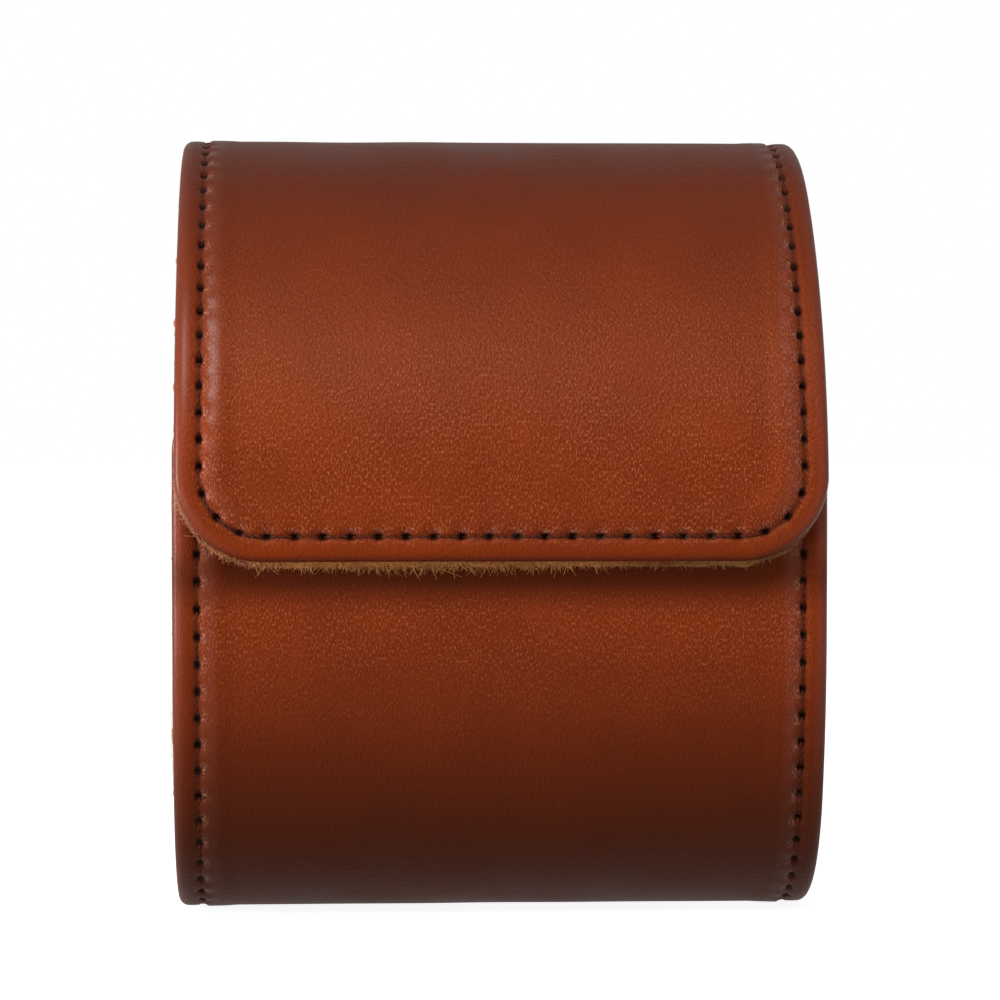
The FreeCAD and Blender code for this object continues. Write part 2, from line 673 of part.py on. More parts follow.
def oval_sketch(name, station, half_depth, half_height, centre, share):
    """Four-arc oval across the case at a station along x."""
    small = half_height * share
    run = half_depth - small
    large = two_arc_radius(half_height, half_depth, small)
    drop = large - half_height
    turn = math.atan2(drop, run)
    y, z = centre
    curves = [
        arc((y + run, z), small, -turn, turn),
        arc((y, z - drop), large, turn, math.pi - turn),
        arc((y - run, z), small, math.pi - turn, math.pi + turn),
        arc((y, z + drop), large, math.pi + turn, 2 * math.pi - turn),
    ]
    sketch = new_sketch(name, PLANE_YZ, curves)
    sketch.Placement = FreeCAD.Placement(FreeCAD.Vector(station, 0, 0), PLANE_YZ)
    sketch.addConstraint(Sketcher.Constraint("Equal", 0, 2))
    sketch.addConstraint(Sketcher.Constraint("Equal", 1, 3))
    sketch.addConstraint(Sketcher.Constraint("Horizontal", 0, 3, 2, 3))
    sketch.addConstraint(Sketcher.Constraint("Radius", 0, small))
    sketch.addConstraint(Sketcher.Constraint("Radius", 1, large))
    sketch.addConstraint(Sketcher.Constraint("DistanceX", 2, 3, 0, 3, 2 * run))
    return sketch


def loft(name, sections):
    """Smooth solid through sections."""
    solid = doc.addObject("Part::Loft", name)
    solid.Sections = sections
    solid.Solid = True
    solid.Ruled = False
    return solid


def floor_block(name, level):
    """Block that holds everything above a level, to press a cushion piece flat there."""
    return block(
        name,
        ("sizes.shell_width + 8 * sizes.overrun", "2 * sizes.case_depth", "sizes.case_height"),
        ("-sizes.shell_width / 2 - 4 * sizes.overrun", "-sizes.case_depth", level),
    )


def cushion(side, size, nodes):
    """Removable cushion: a barrel-shaped cover, its foam, and two crowned end panels."""
    half_height = size["cushion_height"] / 2
    base = side.wall + size["cushion_lift"] - size["cushion_press"]
    level = base + half_height
    front = side.front_wall(level) + size["strap_space"]
    back = side.back_wall(level) - size["strap_space"]
    centre = (front + back) / 2
    half_depth = (back - front) / 2
    half_length = size["shell_width"] / 2
    cover = size["cushion_cover"]
    taper = size["cushion_taper"]
    share = size["cushion_side_share"]

    def ring(name, station, inset):
        """Oval section drawn in all round by the inset, still touching the sole."""
        return oval_sketch(
            name, station, half_depth - inset, half_height - inset, (centre, level), share
        )

    stations = ((-half_length, taper), (0.0, 0.0), (half_length, taper))
    outer = loft("cushion_body", [ring(f"cover_{i}", x, t) for i, (x, t) in enumerate(stations)])
    inner = loft(
        "cushion_inside", [ring(f"inside_{i}", x, t + cover) for i, (x, t) in enumerate(stations)]
    )
    play = size["glue_line"]
    foam = loft(
        "cushion_filling",
        [ring(f"foam_{i}", x, t + cover + play) for i, (x, t) in enumerate(stations)],
    )
    floor = f"{WALL} + sizes.cushion_lift"
    above = floor_block("cushion_floor", floor)
    cavity_floor = floor_block("cavity_floor", f"{floor} + sizes.cushion_cover")
    foam_floor = floor_block("foam_floor", f"{floor} + sizes.cushion_cover + sizes.glue_line")
    pressed = boolean("Common", "cushion_pressed", outer, above)
    cavity = boolean("Common", "cushion_cavity", inner, cavity_floor)
    nodes["cushion_cover"] = boolean("Cut", "cushion_cloth", pressed, cavity)
    nodes["cushion_foam"] = boolean("Common", "cushion_stuffing", foam, foam_floor)
    crown = size["cushion_crown"]
    rise = size["cushion_end"] * END_STEP_SHARE
    for word, sign in (("left", -1), ("right", 1)):
        rims = (
            (0.0, 1.0),
            (rise, 1.0),
            (rise + (crown - rise) * size["dome_shoulder_share"], size["dome_outer_share"]),
            (crown, size["dome_inner_share"]),
        )
        sections = [
            ring(
                f"end_{word}_{i}", sign * (half_length + play + out),
                taper + (half_height - taper) * (1 - scale),
            )
            for i, (out, scale) in enumerate(rims)
        ]
        panel = loft(f"end_{word}", sections)
        nodes[f"cushion_end_{word}"] = boolean("Common", f"end_{word}_pressed", panel, above)


def build():
    """Builds every piece and gives back the node names with their objects."""
    size = fill_sheet()
    side = SideView(size)
    flap_line = flap_sketch(side, size)
    doc.recompute()
    shell_line = shell_sketch(side)
    cutters = Cutters(side, size)
    nodes = {}
    wall_layers("shell", shell_line, cutters, side, size, side.step, nodes)
    lining("shell", shell_line, cutters, nodes)
    wall_layers("flap", flap_line, cutters, side, size, 0.0, nodes)
    lining("flap", flap_line, cutters, nodes, flap_lining_keep(cutters))
    leather, thread = stitched_leather("hinge", flap_line, cutters, side, size)
    nodes["hinge_leather"] = leather
    nodes["hinge_thread"] = thread
    lining("hinge", flap_line, cutters, nodes)
    cushion(side, size, nodes)
    return nodes


def check(nodes):
    """Stops at any object that failed and at any piece that isn't a sound solid."""
    doc.recompute()
    for item in doc.Objects:
        if "Invalid" in item.State or "Error" in item.State:
            raise RuntimeError(f"{item.Name} failed: {item.State}")
    for name, item in nodes.items():
        shape = item.Shape
        if shape.isNull() or not shape.isValid() or not shape.Solids:
            raise RuntimeError(f"{name} has no sound solid")


def main():
    nodes = build()
    for name, item in nodes.items():
        item.Label = name
    check(nodes)
    os.makedirs("parts", exist_ok=True)
    for name, item in nodes.items():
        item.Shape.exportStep(os.path.join("parts", f"{name}.step"))
        box = item.Shape.BoundBox
        print(
            f"{name}: {len(item.Shape.Solids)} solids, {item.Shape.Volume:.1f} mm3, "
            f"{box.XLength:.1f} x {box.YLength:.1f} x {box.ZLength:.1f} mm"
        )


main()
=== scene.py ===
"""Looks of an upright leather travel case for one wrist watch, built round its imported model."""

import logging
import math
from dataclasses import dataclass, field, replace
from enum import Enum
from typing import Callable, Sequence

import bpy
import numpy as np
from mathutils import Matrix, Vector


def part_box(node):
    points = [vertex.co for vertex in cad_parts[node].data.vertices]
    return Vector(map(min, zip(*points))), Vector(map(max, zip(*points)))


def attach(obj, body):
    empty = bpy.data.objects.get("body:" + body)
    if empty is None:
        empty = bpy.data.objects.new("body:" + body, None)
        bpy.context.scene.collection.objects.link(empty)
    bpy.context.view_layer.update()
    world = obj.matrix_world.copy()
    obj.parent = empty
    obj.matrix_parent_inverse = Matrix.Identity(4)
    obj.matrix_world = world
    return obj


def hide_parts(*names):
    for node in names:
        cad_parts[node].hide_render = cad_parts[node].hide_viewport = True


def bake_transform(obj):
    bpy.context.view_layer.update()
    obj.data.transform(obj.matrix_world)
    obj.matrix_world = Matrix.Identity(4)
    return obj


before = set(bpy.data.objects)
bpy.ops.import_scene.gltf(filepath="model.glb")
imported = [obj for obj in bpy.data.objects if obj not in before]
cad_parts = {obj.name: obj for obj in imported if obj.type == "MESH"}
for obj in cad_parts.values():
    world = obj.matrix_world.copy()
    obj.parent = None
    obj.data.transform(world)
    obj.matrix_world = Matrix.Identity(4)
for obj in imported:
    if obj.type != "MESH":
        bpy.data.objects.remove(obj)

LOG = logging.getLogger("watch_case")
MM = 0.001
Array = np.ndarray
Point = tuple[float, float]
Place = tuple[float, float, float]
Colour = tuple[float, float, float, float]


def srgb(red: int, green: int, blue: int) -> Colour:
    """Turns a display colour from 0 to 255 into the linear colour that a shader takes.

    Args:
        red: Red, 0 to 255.
        green: Green, 0 to 255.
        blue: Blue, 0 to 255.

    Returns:
        Linear red, green, blue and an alpha of 1.
    """
    linear = [
        (c / 255 / 12.92) if c <= 10 else ((c / 255 + 0.055) / 1.055) ** 2.4
        for c in (red, green, blue)
    ]
    return linear[0], linear[1], linear[2], 1.0


# Modelling by operators


def select_only(piece: bpy.types.Object) -> None:
    """Makes one object the only selected and active one.

    Args:
        piece: The object.
    """
    bpy.ops.object.select_all(action="DESELECT")
    piece.select_set(True)
    bpy.context.view_layer.objects.active = piece


def linked(name: str, data: bpy.types.ID) -> bpy.types.Object:
    """Puts a mesh, curve, camera or lamp in the scene.

    Args:
        name: Name of its object.
        data: What the object shows.

    Returns:
        The object.
    """
    thing = bpy.data.objects.new(name, data)
    bpy.context.scene.collection.objects.link(thing)
    return thing


def named(name: str) -> bpy.types.Object:
    """Names the mesh that an operator has just made.

    Args:
        name: Its name.

    Returns:
        The mesh, with its place, rotation and scale applied.
    """
    piece = bpy.context.object
    piece.name = name
    bpy.ops.object.transform_apply(location=True, rotation=True, scale=True)
    return piece


def points_of(piece: bpy.types.Object) -> Array:
    """Gives the points of a mesh.

    Args:
        piece: The mesh.

    Returns:
        Rows of x, y and z.
    """
    rows = np.empty(len(piece.data.vertices) * 3)
    piece.data.vertices.foreach_get("co", rows)
    return rows.reshape(-1, 3)


def place_points(piece: bpy.types.Object, rows: Array) -> None:
    """Moves a mesh's points to the given rows."""
    piece.data.vertices.foreach_set("co", np.ascontiguousarray(rows, dtype=np.float32).ravel())
    piece.data.update()


def apply_modifier(piece: bpy.types.Object, kind: str, **settings: object) -> None:
    """Adds a modifier with its settings and applies it.

    Args:
        piece: Mesh that it works on.
        kind: Blender's name of the modifier type.
        **settings: Values of its properties.
    """
    select_only(piece)
    modifier = piece.modifiers.new(kind.lower(), kind)
    for key, value in settings.items():
        setattr(modifier, key, value)
    bpy.ops.object.modifier_apply(modifier=modifier.name)


def cut_edges(
    piece: bpy.types.Object, wanted: Callable[[Vector, Vector], bool], cuts: int
) -> None:
    """Divides some of a mesh's edges.

    Args:
        piece: Mesh that it works on.
        wanted: Says from an edge's two ends whether it is divided.
        cuts: Number of new points on each edge.
    """
    select_only(piece)
    bpy.ops.object.mode_set(mode="EDIT")
    bpy.ops.mesh.select_mode(type="EDGE")
    bpy.ops.mesh.select_all(action="DESELECT")
    bpy.ops.object.mode_set(mode="OBJECT")
    points = piece.data.vertices
    for edge in piece.data.edges:
        edge.select = wanted(*(points[i].co for i in edge.vertices))
    bpy.ops.object.mode_set(mode="EDIT")
    bpy.ops.mesh.subdivide(number_cuts=cuts)
    bpy.ops.object.mode_set(mode="OBJECT")


def lying_cylinder(
    name: str, sides: int, radius: float, length: float, cuts: int
) -> bpy.types.Object:
    """Makes a cylinder along x whose ends are fans of triangles.

    Args:
        name: Name of the piece.
        sides: Number of its sides.
        radius: Its radius.
        length: Its length.
        cuts: Number of rings between its ends.

    Returns:
        The cylinder.
    """
    bpy.ops.object.select_all(action="DESELECT")
    bpy.ops.mesh.primitive_cylinder_add(
        vertices=sides,
        radius=radius,
        depth=length,
        end_fill_type="TRIFAN",
        rotation=(0.0, math.pi / 2, 0.0),
    )
    piece = named(name)
    cut_edges(piece, lambda a, b: abs(a.x - b.x) > length / 2, cuts)
    return piece


def smooth(piece: bpy.types.Object, degrees: float = 40.0) -> None:
    """Shades a mesh smooth, apart from its sharp edges."""
    select_only(piece)
    bpy.ops.object.shade_smooth_by_angle(angle=math.radians(degrees))


def dress(piece: bpy.types.Object, material: bpy.types.Material) -> None:
    """Gives a piece its only material.

    Args:
        piece: The piece.
        material: Its material.
    """
    piece.data.materials.clear()
    piece.data.materials.append(material)


def set_uv(piece: bpy.types.Object, name: str, first: Array, second: Array) -> None:
    """Writes a UV map from two values for each point.

    Args:
        piece: Mesh that gets the map.
        name: Name of the map.
        first: First value of each point.
        second: Second value of each point.
    """
    layer = piece.data.uv_layers.new(name=name)
    corners = np.empty(len(piece.data.loops), dtype=np.int32)
    piece.data.loops.foreach_get("vertex_index", corners)
    rows = np.stack([first, second], axis=1)
    layer.data.foreach_set("uv", rows[corners].astype(np.float32).ravel())


# Shader graphs


class Signal:
    """A node's output that adds Math nodes when it is used in an expression."""

    def __init__(self, graph: "Graph", socket: bpy.types.NodeSocket) -> None:
        """Wraps the output of a node in a graph."""
        self.graph = graph
        self.socket = socket

    def math(self, operation: str, *values: object, clamp: bool = False) -> "Signal":
        """Adds a Math node with values or signals for its sockets."""
        settings = {"operation": operation, "use_clamp": clamp}
        return self.graph.out("ShaderNodeMath", settings, dict(enumerate(values)))

    def __add__(self, other: object) -> "Signal":
        """Sum."""
        return self.math("ADD", self, other)

    __radd__ = __add__

    def __mul__(self, other: object) -> "Signal":
        """Product."""
        return self.math("MULTIPLY", self, other)

    __rmul__ = __mul__

    def __sub__(self, other: object) -> "Signal":
        """Difference."""
        return self.math("SUBTRACT", self, other)

    def __rsub__(self, other: object) -> "Signal":
        """Difference from a value on the left."""
        return self.math("SUBTRACT", other, self)

    def __truediv__(self, other: object) -> "Signal":
        """Quotient."""
        return self.math("DIVIDE", self, other)

    def __abs__(self) -> "Signal":
        """Size without its sign."""
        return self.math("ABSOLUTE", self)

    def held(self) -> "Signal":
        """Keeps the value between 0 and 1."""
        return self.math("ADD", self, 0.0, clamp=True)

    def above(self, start: float, gain: float) -> "Signal":
        """0 at a start value, rising by a gain up to 1."""
        return ((self - start) * gain).held()

    def below(self, start: float, gain: float) -> "Signal":
        """0 at a start value, rising by a gain up to 1 as the value falls."""
        return ((start - self) * gain).held()

    def phase(self, length: float) -> "Signal":
        """Signed distance to the nearest whole multiple of a length."""
        return self.math("WRAP", self, length / 2, -length / 2)

    def bell(self, centre: float, reach: float) -> "Signal":
        """1 at the centre, falling smoothly to 0 at the reach on both sides."""
        near = (1 - abs(self - centre) / reach).held()
        return near * near * (3 - 2 * near)


class Graph:
    """Node graph of a material or of the world."""

    def __init__(self, owner: bpy.types.Material | bpy.types.World) -> None:
        """Empties the owner's graph.

        Args:
            owner: Material or world that the graph belongs to.
        """
        owner.use_nodes = True
        self.owner = owner
        self.tree = owner.node_tree
        self.tree.nodes.clear()

    def node(
        self, kind: str, settings: dict | None = None, inputs: dict | None = None
    ) -> bpy.types.Node:
        """Adds a node.

        Args:
            kind: Blender's name of the node type.
            settings: Properties set first.
            inputs: Socket names or numbers with their values or signals.

        Returns:
            The node.
        """
        made = self.tree.nodes.new(kind)
        for key, value in (settings or {}).items():
            setattr(made, key, value)
        for key, value in (inputs or {}).items():
            if isinstance(value, Signal):
                self.tree.links.new(value.socket, made.inputs[key])
            else:
                made.inputs[key].default_value = value
        return made

    def out(
        self,
        kind: str,
        settings: dict | None = None,
        inputs: dict | None = None,
        output: int | str = 0,
    ) -> Signal:
        """Adds a node and gives one of its outputs as a signal."""
        return Signal(self, self.node(kind, settings, inputs).outputs[output])

    def uv(self, name: str) -> Signal:
        """Coordinates of a UV map."""
        return self.out("ShaderNodeUVMap", {"uv_map": name})

    def attribute(self, name: str) -> Signal:
        """Number that each point of a piece carries under a name."""
        return self.out("ShaderNodeAttribute", {"attribute_name": name}, output="Fac")

    def place(self) -> Signal:
        """Object coordinates."""
        return self.out("ShaderNodeTexCoord", output="Object")

    def scaled(self, vector: Signal, scale: Place) -> Signal:
        """Coordinates scaled on each axis."""
        return self.out("ShaderNodeMapping", inputs={"Vector": vector, "Scale": scale})

    def parts(self, vector: Signal) -> tuple[Signal, Signal]:
        """First two components of a vector."""
        split = self.node("ShaderNodeSeparateXYZ", inputs={0: vector})
        return Signal(self, split.outputs[0]), Signal(self, split.outputs[1])

    def noise(
        self, vector: Signal, scale: float, detail: float = 2.0, roughness: float = 0.5
    ) -> Signal:
        """Noise of a scale in cycles per unit of its coordinates."""
        inputs = {"Vector": vector, "Scale": scale, "Detail": detail, "Roughness": roughness}
        return self.out("ShaderNodeTexNoise", inputs=inputs)

    def cells(self, vector: Signal, scale: float) -> Signal:
        """Distance to the nearest cell centre."""
        return self.out("ShaderNodeTexVoronoi", inputs={"Vector": vector, "Scale": scale})

    def mix(self, share: object, first: object, second: object) -> Signal:
        """Colour between two colours."""
        inputs = {0: share, 6: first, 7: second}
        return self.out("ShaderNodeMix", {"data_type": "RGBA"}, inputs, 2)

    def relief(self, height: Signal, depth: float) -> Signal:
        """Normal of a surface with a relief of that depth in metres."""
        inputs = {"Height": height, "Distance": depth, "Strength": 1.0}
        return self.out("ShaderNodeBump", inputs=inputs)

    def glow(self, kind: str, colour: Colour, strength: float) -> Signal:
        """Shader that gives light of a colour."""
        return self.out(kind, inputs={"Color": colour, "Strength": strength})

    def surface(self, **inputs: object) -> bpy.types.Material:
        """Ends the graph with a Principled surface.

        Args:
            **inputs: Socket names, with underscores for spaces, and their values or signals.

        Returns:
            The finished material.
        """
        sockets = {key.replace("_", " "): value for key, value in inputs.items()}
        shader = self.out("ShaderNodeBsdfPrincipled", inputs=sockets)
        self.node("ShaderNodeOutputMaterial", inputs={0: shader})
        return self.owner

    def backdrop(self, kind: str, lit: Signal, seen: Signal) -> None:
        """Ends the graph with one look for light and another for what the camera sees.

        Args:
            kind: Blender's name of the output node.
            lit: Shader for the rays that only carry light.
            seen: Shader for rays from the camera, also by way of a mirror or a clear piece.
        """
        path = self.node("ShaderNodeLightPath")
        camera, glossy, clear = (
            Signal(self, path.outputs[f"Is {ray} Ray"])
            for ray in ("Camera", "Glossy", "Transmission")
        )
        share = (camera + glossy + clear).held()
        both = self.out("ShaderNodeMixShader", inputs={0: share, 1: lit, 2: seen})
        self.node(kind, inputs={0: both})


def new_graph(name: str) -> Graph:
    """Empty graph of a new material."""
    return Graph(bpy.data.materials.new(name))


@dataclass(frozen=True)
class LeatherFinish:
    """Smooth cognac leather with a fine grain and a dented stitch row; its colour carries painted
    shade, painted glints and painted highlights.
    """

    name: str
    pitch: float
    inset: float
    deep: Colour = srgb(117, 41, 11)
    warm: Colour = srgb(133, 48, 13)
    # Painted glints: light specks where the grain catches the light.
    fleck: Colour = srgb(204, 118, 74)
    pore: Colour = srgb(84, 28, 9)
    # Darker colour along the stitch row and the outer rim.
    row_and_rim_tint: Colour = srgb(70, 25, 11)
    # Colour of the painted shade.
    painted_shade_colour: Colour = srgb(42, 17, 9)
    gleam: Colour = srgb(255, 196, 160)
    # Painted shade inside the needle holes.
    hole: Colour = srgb(20, 8, 7)
    # Painted highlights: pale pink flecks beside the stitch holes, where the puckers catch the
    # light.
    painted_light_and_shade: Colour = srgb(190, 138, 116)
    mottle_scale: float = 90.0
    cloud_scale: float = 16.0
    patch_scale: float = 150.0
    fleck_scale: Place = (5600.0, 2500.0, 1.0)
    pore_scale: Place = (2900.0, 2100.0, 1.0)
    grain_depth: float = 0.09 * MM
    roughness: float = 0.42
    row_reach: float = 0.6 * MM
    hole_reach: float = 0.95 * MM
    rim_reach: float = 0.7 * MM
    plain_rim: float = 3.4 * MM
    row_side: float = 0.7 * MM
    # Place and reach of the painted highlight flecks beside each hole.
    painted_highlight_shift: float = 0.3 * MM
    painted_highlight_reach: float = 1.3 * MM
    rim_polish: float = 0.8 * MM
    rim_polish_reach: float = 1.1 * MM
    polished_side: float = 1.4 * MM
    handled_from: float = 29.0 * MM

    def build(self) -> bpy.types.Material:
        """Builds the material.

        Returns:
            The finished material.
        """
        graph = new_graph(self.name)
        sheet = graph.uv("pattern")
        along, edge = graph.parts(graph.uv("seam"))
        # Painted shade towards the foot and the crown, and painted shadow under the flap, stored
        # on the points.
        painted_shade = graph.attribute("painted_shade")
        clouds = graph.noise(sheet, self.cloud_scale, 2.0)
        mottle = graph.noise(sheet, self.mottle_scale, 4.0) * 0.6 + clouds * 0.4
        grain = graph.noise(graph.scaled(sheet, self.fleck_scale), 1.0, 1.5, 0.5)
        pores = graph.cells(graph.scaled(sheet, self.pore_scale), 1.0)
        patches = ((graph.noise(sheet, self.patch_scale, 2.0) - 0.3) * 2.0 + 0.45).held()
        row = edge.bell(self.inset, self.row_reach)
        rim = edge.bell(0.0, self.rim_reach)
        beat = (along - self.pitch / 2).phase(self.pitch)
        # Needle holes along the row, painted dark as shade.
        holes = row * beat.bell(0.0, self.hole_reach)
        # Beside the row next to each hole: where the painted highlight flecks go.
        beside = edge.bell(self.inset + self.row_side, self.row_side)
        beside = beside * beat.bell(self.painted_highlight_shift, self.painted_highlight_reach)
        # Zone away from the painted shade and the plain rim, in patches: the painted glints and
        # the dark pores show only here.
        painted_lit_zone = (1 - painted_shade * 1.6 - edge.bell(0.0, self.plain_rim) * 1.5).held() * patches
        colour = graph.mix(mottle.above(0.35, 3.3), self.deep, self.warm)
        for share, tint in (
            # Painted glints on the grain, then its dark pores.
            (grain.above(0.54, 8.0) * painted_lit_zone * 0.4, self.fleck),
            (grain.below(0.45, 8.0) * painted_lit_zone * 0.5, self.pore),
            # Painted shade and painted shadow.
            (painted_shade, self.painted_shade_colour),
            # Darker along the stitch row and along the outer rim.
            ((row * 0.65 + rim * 0.5).held(), self.row_and_rim_tint),
            # Painted highlight flecks beside the holes.
            ((beside * grain.above(0.46, 7.0)).held() * 0.4, self.painted_light_and_shade),
            # Painted shade inside the needle holes.
            ((holes * 1.7).held(), self.hole),
        ):
            colour = graph.mix(share, colour, tint)
        polish = edge.bell(self.rim_polish, self.rim_polish_reach)
        polish = polish + edge.bell(self.inset + self.polished_side, self.polished_side)
        handled = abs(along).above(self.handled_from, 140.0)
        uneven = (mottle - 0.5) * 0.25 + (grain - 0.5) * 0.2 + painted_shade * 0.22
        return graph.surface(
            Base_Color=colour,
            Roughness=uneven + self.roughness,
            Normal=graph.relief(grain * 0.6 + pores * 0.5, self.grain_depth),
            Specular_IOR_Level=0.15,
            Specular_Tint=self.gleam,
            Coat_Weight=(polish * handled * (1 - painted_shade) * (0.12 + grain * 0.4)).held(),
            Coat_Roughness=0.3,
        )


@dataclass(frozen=True)
class NapFinish:
    """Soft napped cloth, mottled where the nap lies in different ways."""

    name: str
    deep: Colour = srgb(192, 178, 154)
    light: Colour = srgb(224, 215, 196)
    fibre_scale: float = 3200.0
    fibre_roughness: float = 0.6
    fibre_tone: float = 0.8
    lay_scale: float = 70.0
    lay_tone: float = 1.4
    tone: float = 0.6
    nap_depth: float = 0.07 * MM
    roughness: float = 0.9
    specular: float = 0.5
    sheen: float = 0.4
    sheen_roughness: float = 0.4

    def colour(self, graph: Graph, place: Signal, tone: Signal) -> Signal:
        """Colour between deep and light by a tone."""
        return graph.mix(tone, self.deep, self.light)

    def build(self) -> bpy.types.Material:
        """Builds the material.

        Returns:
            The finished material.
        """
        graph = new_graph(self.name)
        place = graph.place()
        nap = graph.noise(place, self.fibre_scale, 3.0, self.fibre_roughness)
        lay = graph.noise(place, self.lay_scale, 3.0)
        tone = ((nap - 0.5) * self.fibre_tone + (lay - 0.5) * self.lay_tone + self.tone).held()
        return graph.surface(
            Base_Color=self.colour(graph, place, tone),
            Roughness=(nap - 0.5) * 0.1 + self.roughness,
            Normal=graph.relief(nap, self.nap_depth),
            Specular_IOR_Level=self.specular,
            Sheen_Weight=self.sheen,
            Sheen_Roughness=self.sheen_roughness,
        )


@dataclass(frozen=True)
class SuedeFinish(NapFinish):
    """Napped suede that is paler to the left and browner to the right."""

    deep: Colour = srgb(166, 80, 30)
    light: Colour = srgb(255, 176, 98)
    left: Colour = srgb(156, 98, 66)
    right: Colour = srgb(116, 74, 46)
    fibre_scale: float = 2600.0
    fibre_roughness: float = 0.65
    fibre_tone: float = 2.2
    lay_scale: float = 110.0
    lay_tone: float = 1.6
    tone: float = 0.5
    nap_depth: float = 0.3 * MM
    roughness: float = 0.92
    specular: float = 0.15
    sheen: float = 0.15
    sheen_roughness: float = 0.5
    left_from: float = -24.0 * MM
    right_from: float = 8.0 * MM

    def colour(self, graph: Graph, place: Signal, tone: Signal) -> Signal:
        """Colour between deep and light by a tone, with its two sides.

        Args:
            graph: Graph of the material.
            place: Object coordinates.
            tone: Share of the light colour.

        Returns:
            The colour.
        """
        across = graph.parts(place)[0]
        colour = graph.mix(tone, self.deep, self.light)
        colour = graph.mix(across.below(self.left_from, 150.0) * 0.6, colour, self.left)
        return graph.mix(across.above(self.right_from, 70.0) * 0.55, colour, self.right)


@dataclass(frozen=True)
class ThreadFinish:
    """Twisted waxed thread."""

    name: str
    deep: Colour = srgb(50, 19, 11)
    light: Colour = srgb(104, 46, 27)
    twist: float = 0.9 * MM
    slant: float = 1.6
    ply_depth: float = 0.06 * MM
    fray_scale: float = 5200.0

    def build(self) -> bpy.types.Material:
        """Builds the material.

        Returns:
            The finished material.
        """
        graph = new_graph(self.name)
        along, across = graph.parts(graph.uv("pattern"))
        ply = (along + across * self.slant).phase(self.twist)
        ridge = (1 - abs(ply) * (2 / self.twist)).held()
        fray = graph.noise(graph.place(), self.fray_scale, 2.0)
        # Lighter on the ply crests and darker in the grooves: painted light and shade of the
        # twist; the fray noise is the thread's own uneven colour.
        tone = (ridge * 0.8 + (fray - 0.5) * 0.9).held()
        return graph.surface(
            Base_Color=graph.mix(tone, self.deep, self.light),
            Roughness=(fray - 0.5) * 0.3 + 0.7,
            Normal=graph.relief(ridge, self.ply_depth),
            Specular_IOR_Level=0.08,
        )


@dataclass(frozen=True)
class HiddenFinish:
    """Plain stuff inside the wall: felt, board or plating."""

    name: str
    deep: Colour
    light: Colour
    scale: float
    depth: float
    roughness: float
    metallic: float = 0.0

    def build(self) -> bpy.types.Material:
        """Builds the material.

        Returns:
            The finished material.
        """
        graph = new_graph(self.name)
        fleck = graph.noise(graph.place(), self.scale, 4.0, 0.6)
        return graph.surface(
            Base_Color=graph.mix(fleck.above(0.35, 3.3), self.deep, self.light),
            Roughness=(fleck - 0.5) * 0.2 + self.roughness,
            Metallic=self.metallic,
            Normal=graph.relief(fleck, self.depth),
        )


# Side view and the flat pattern


class Run(Enum):
    """Kinds of stretches of the side outline."""

    STRAIGHT = "straight"
    ROUND = "round"


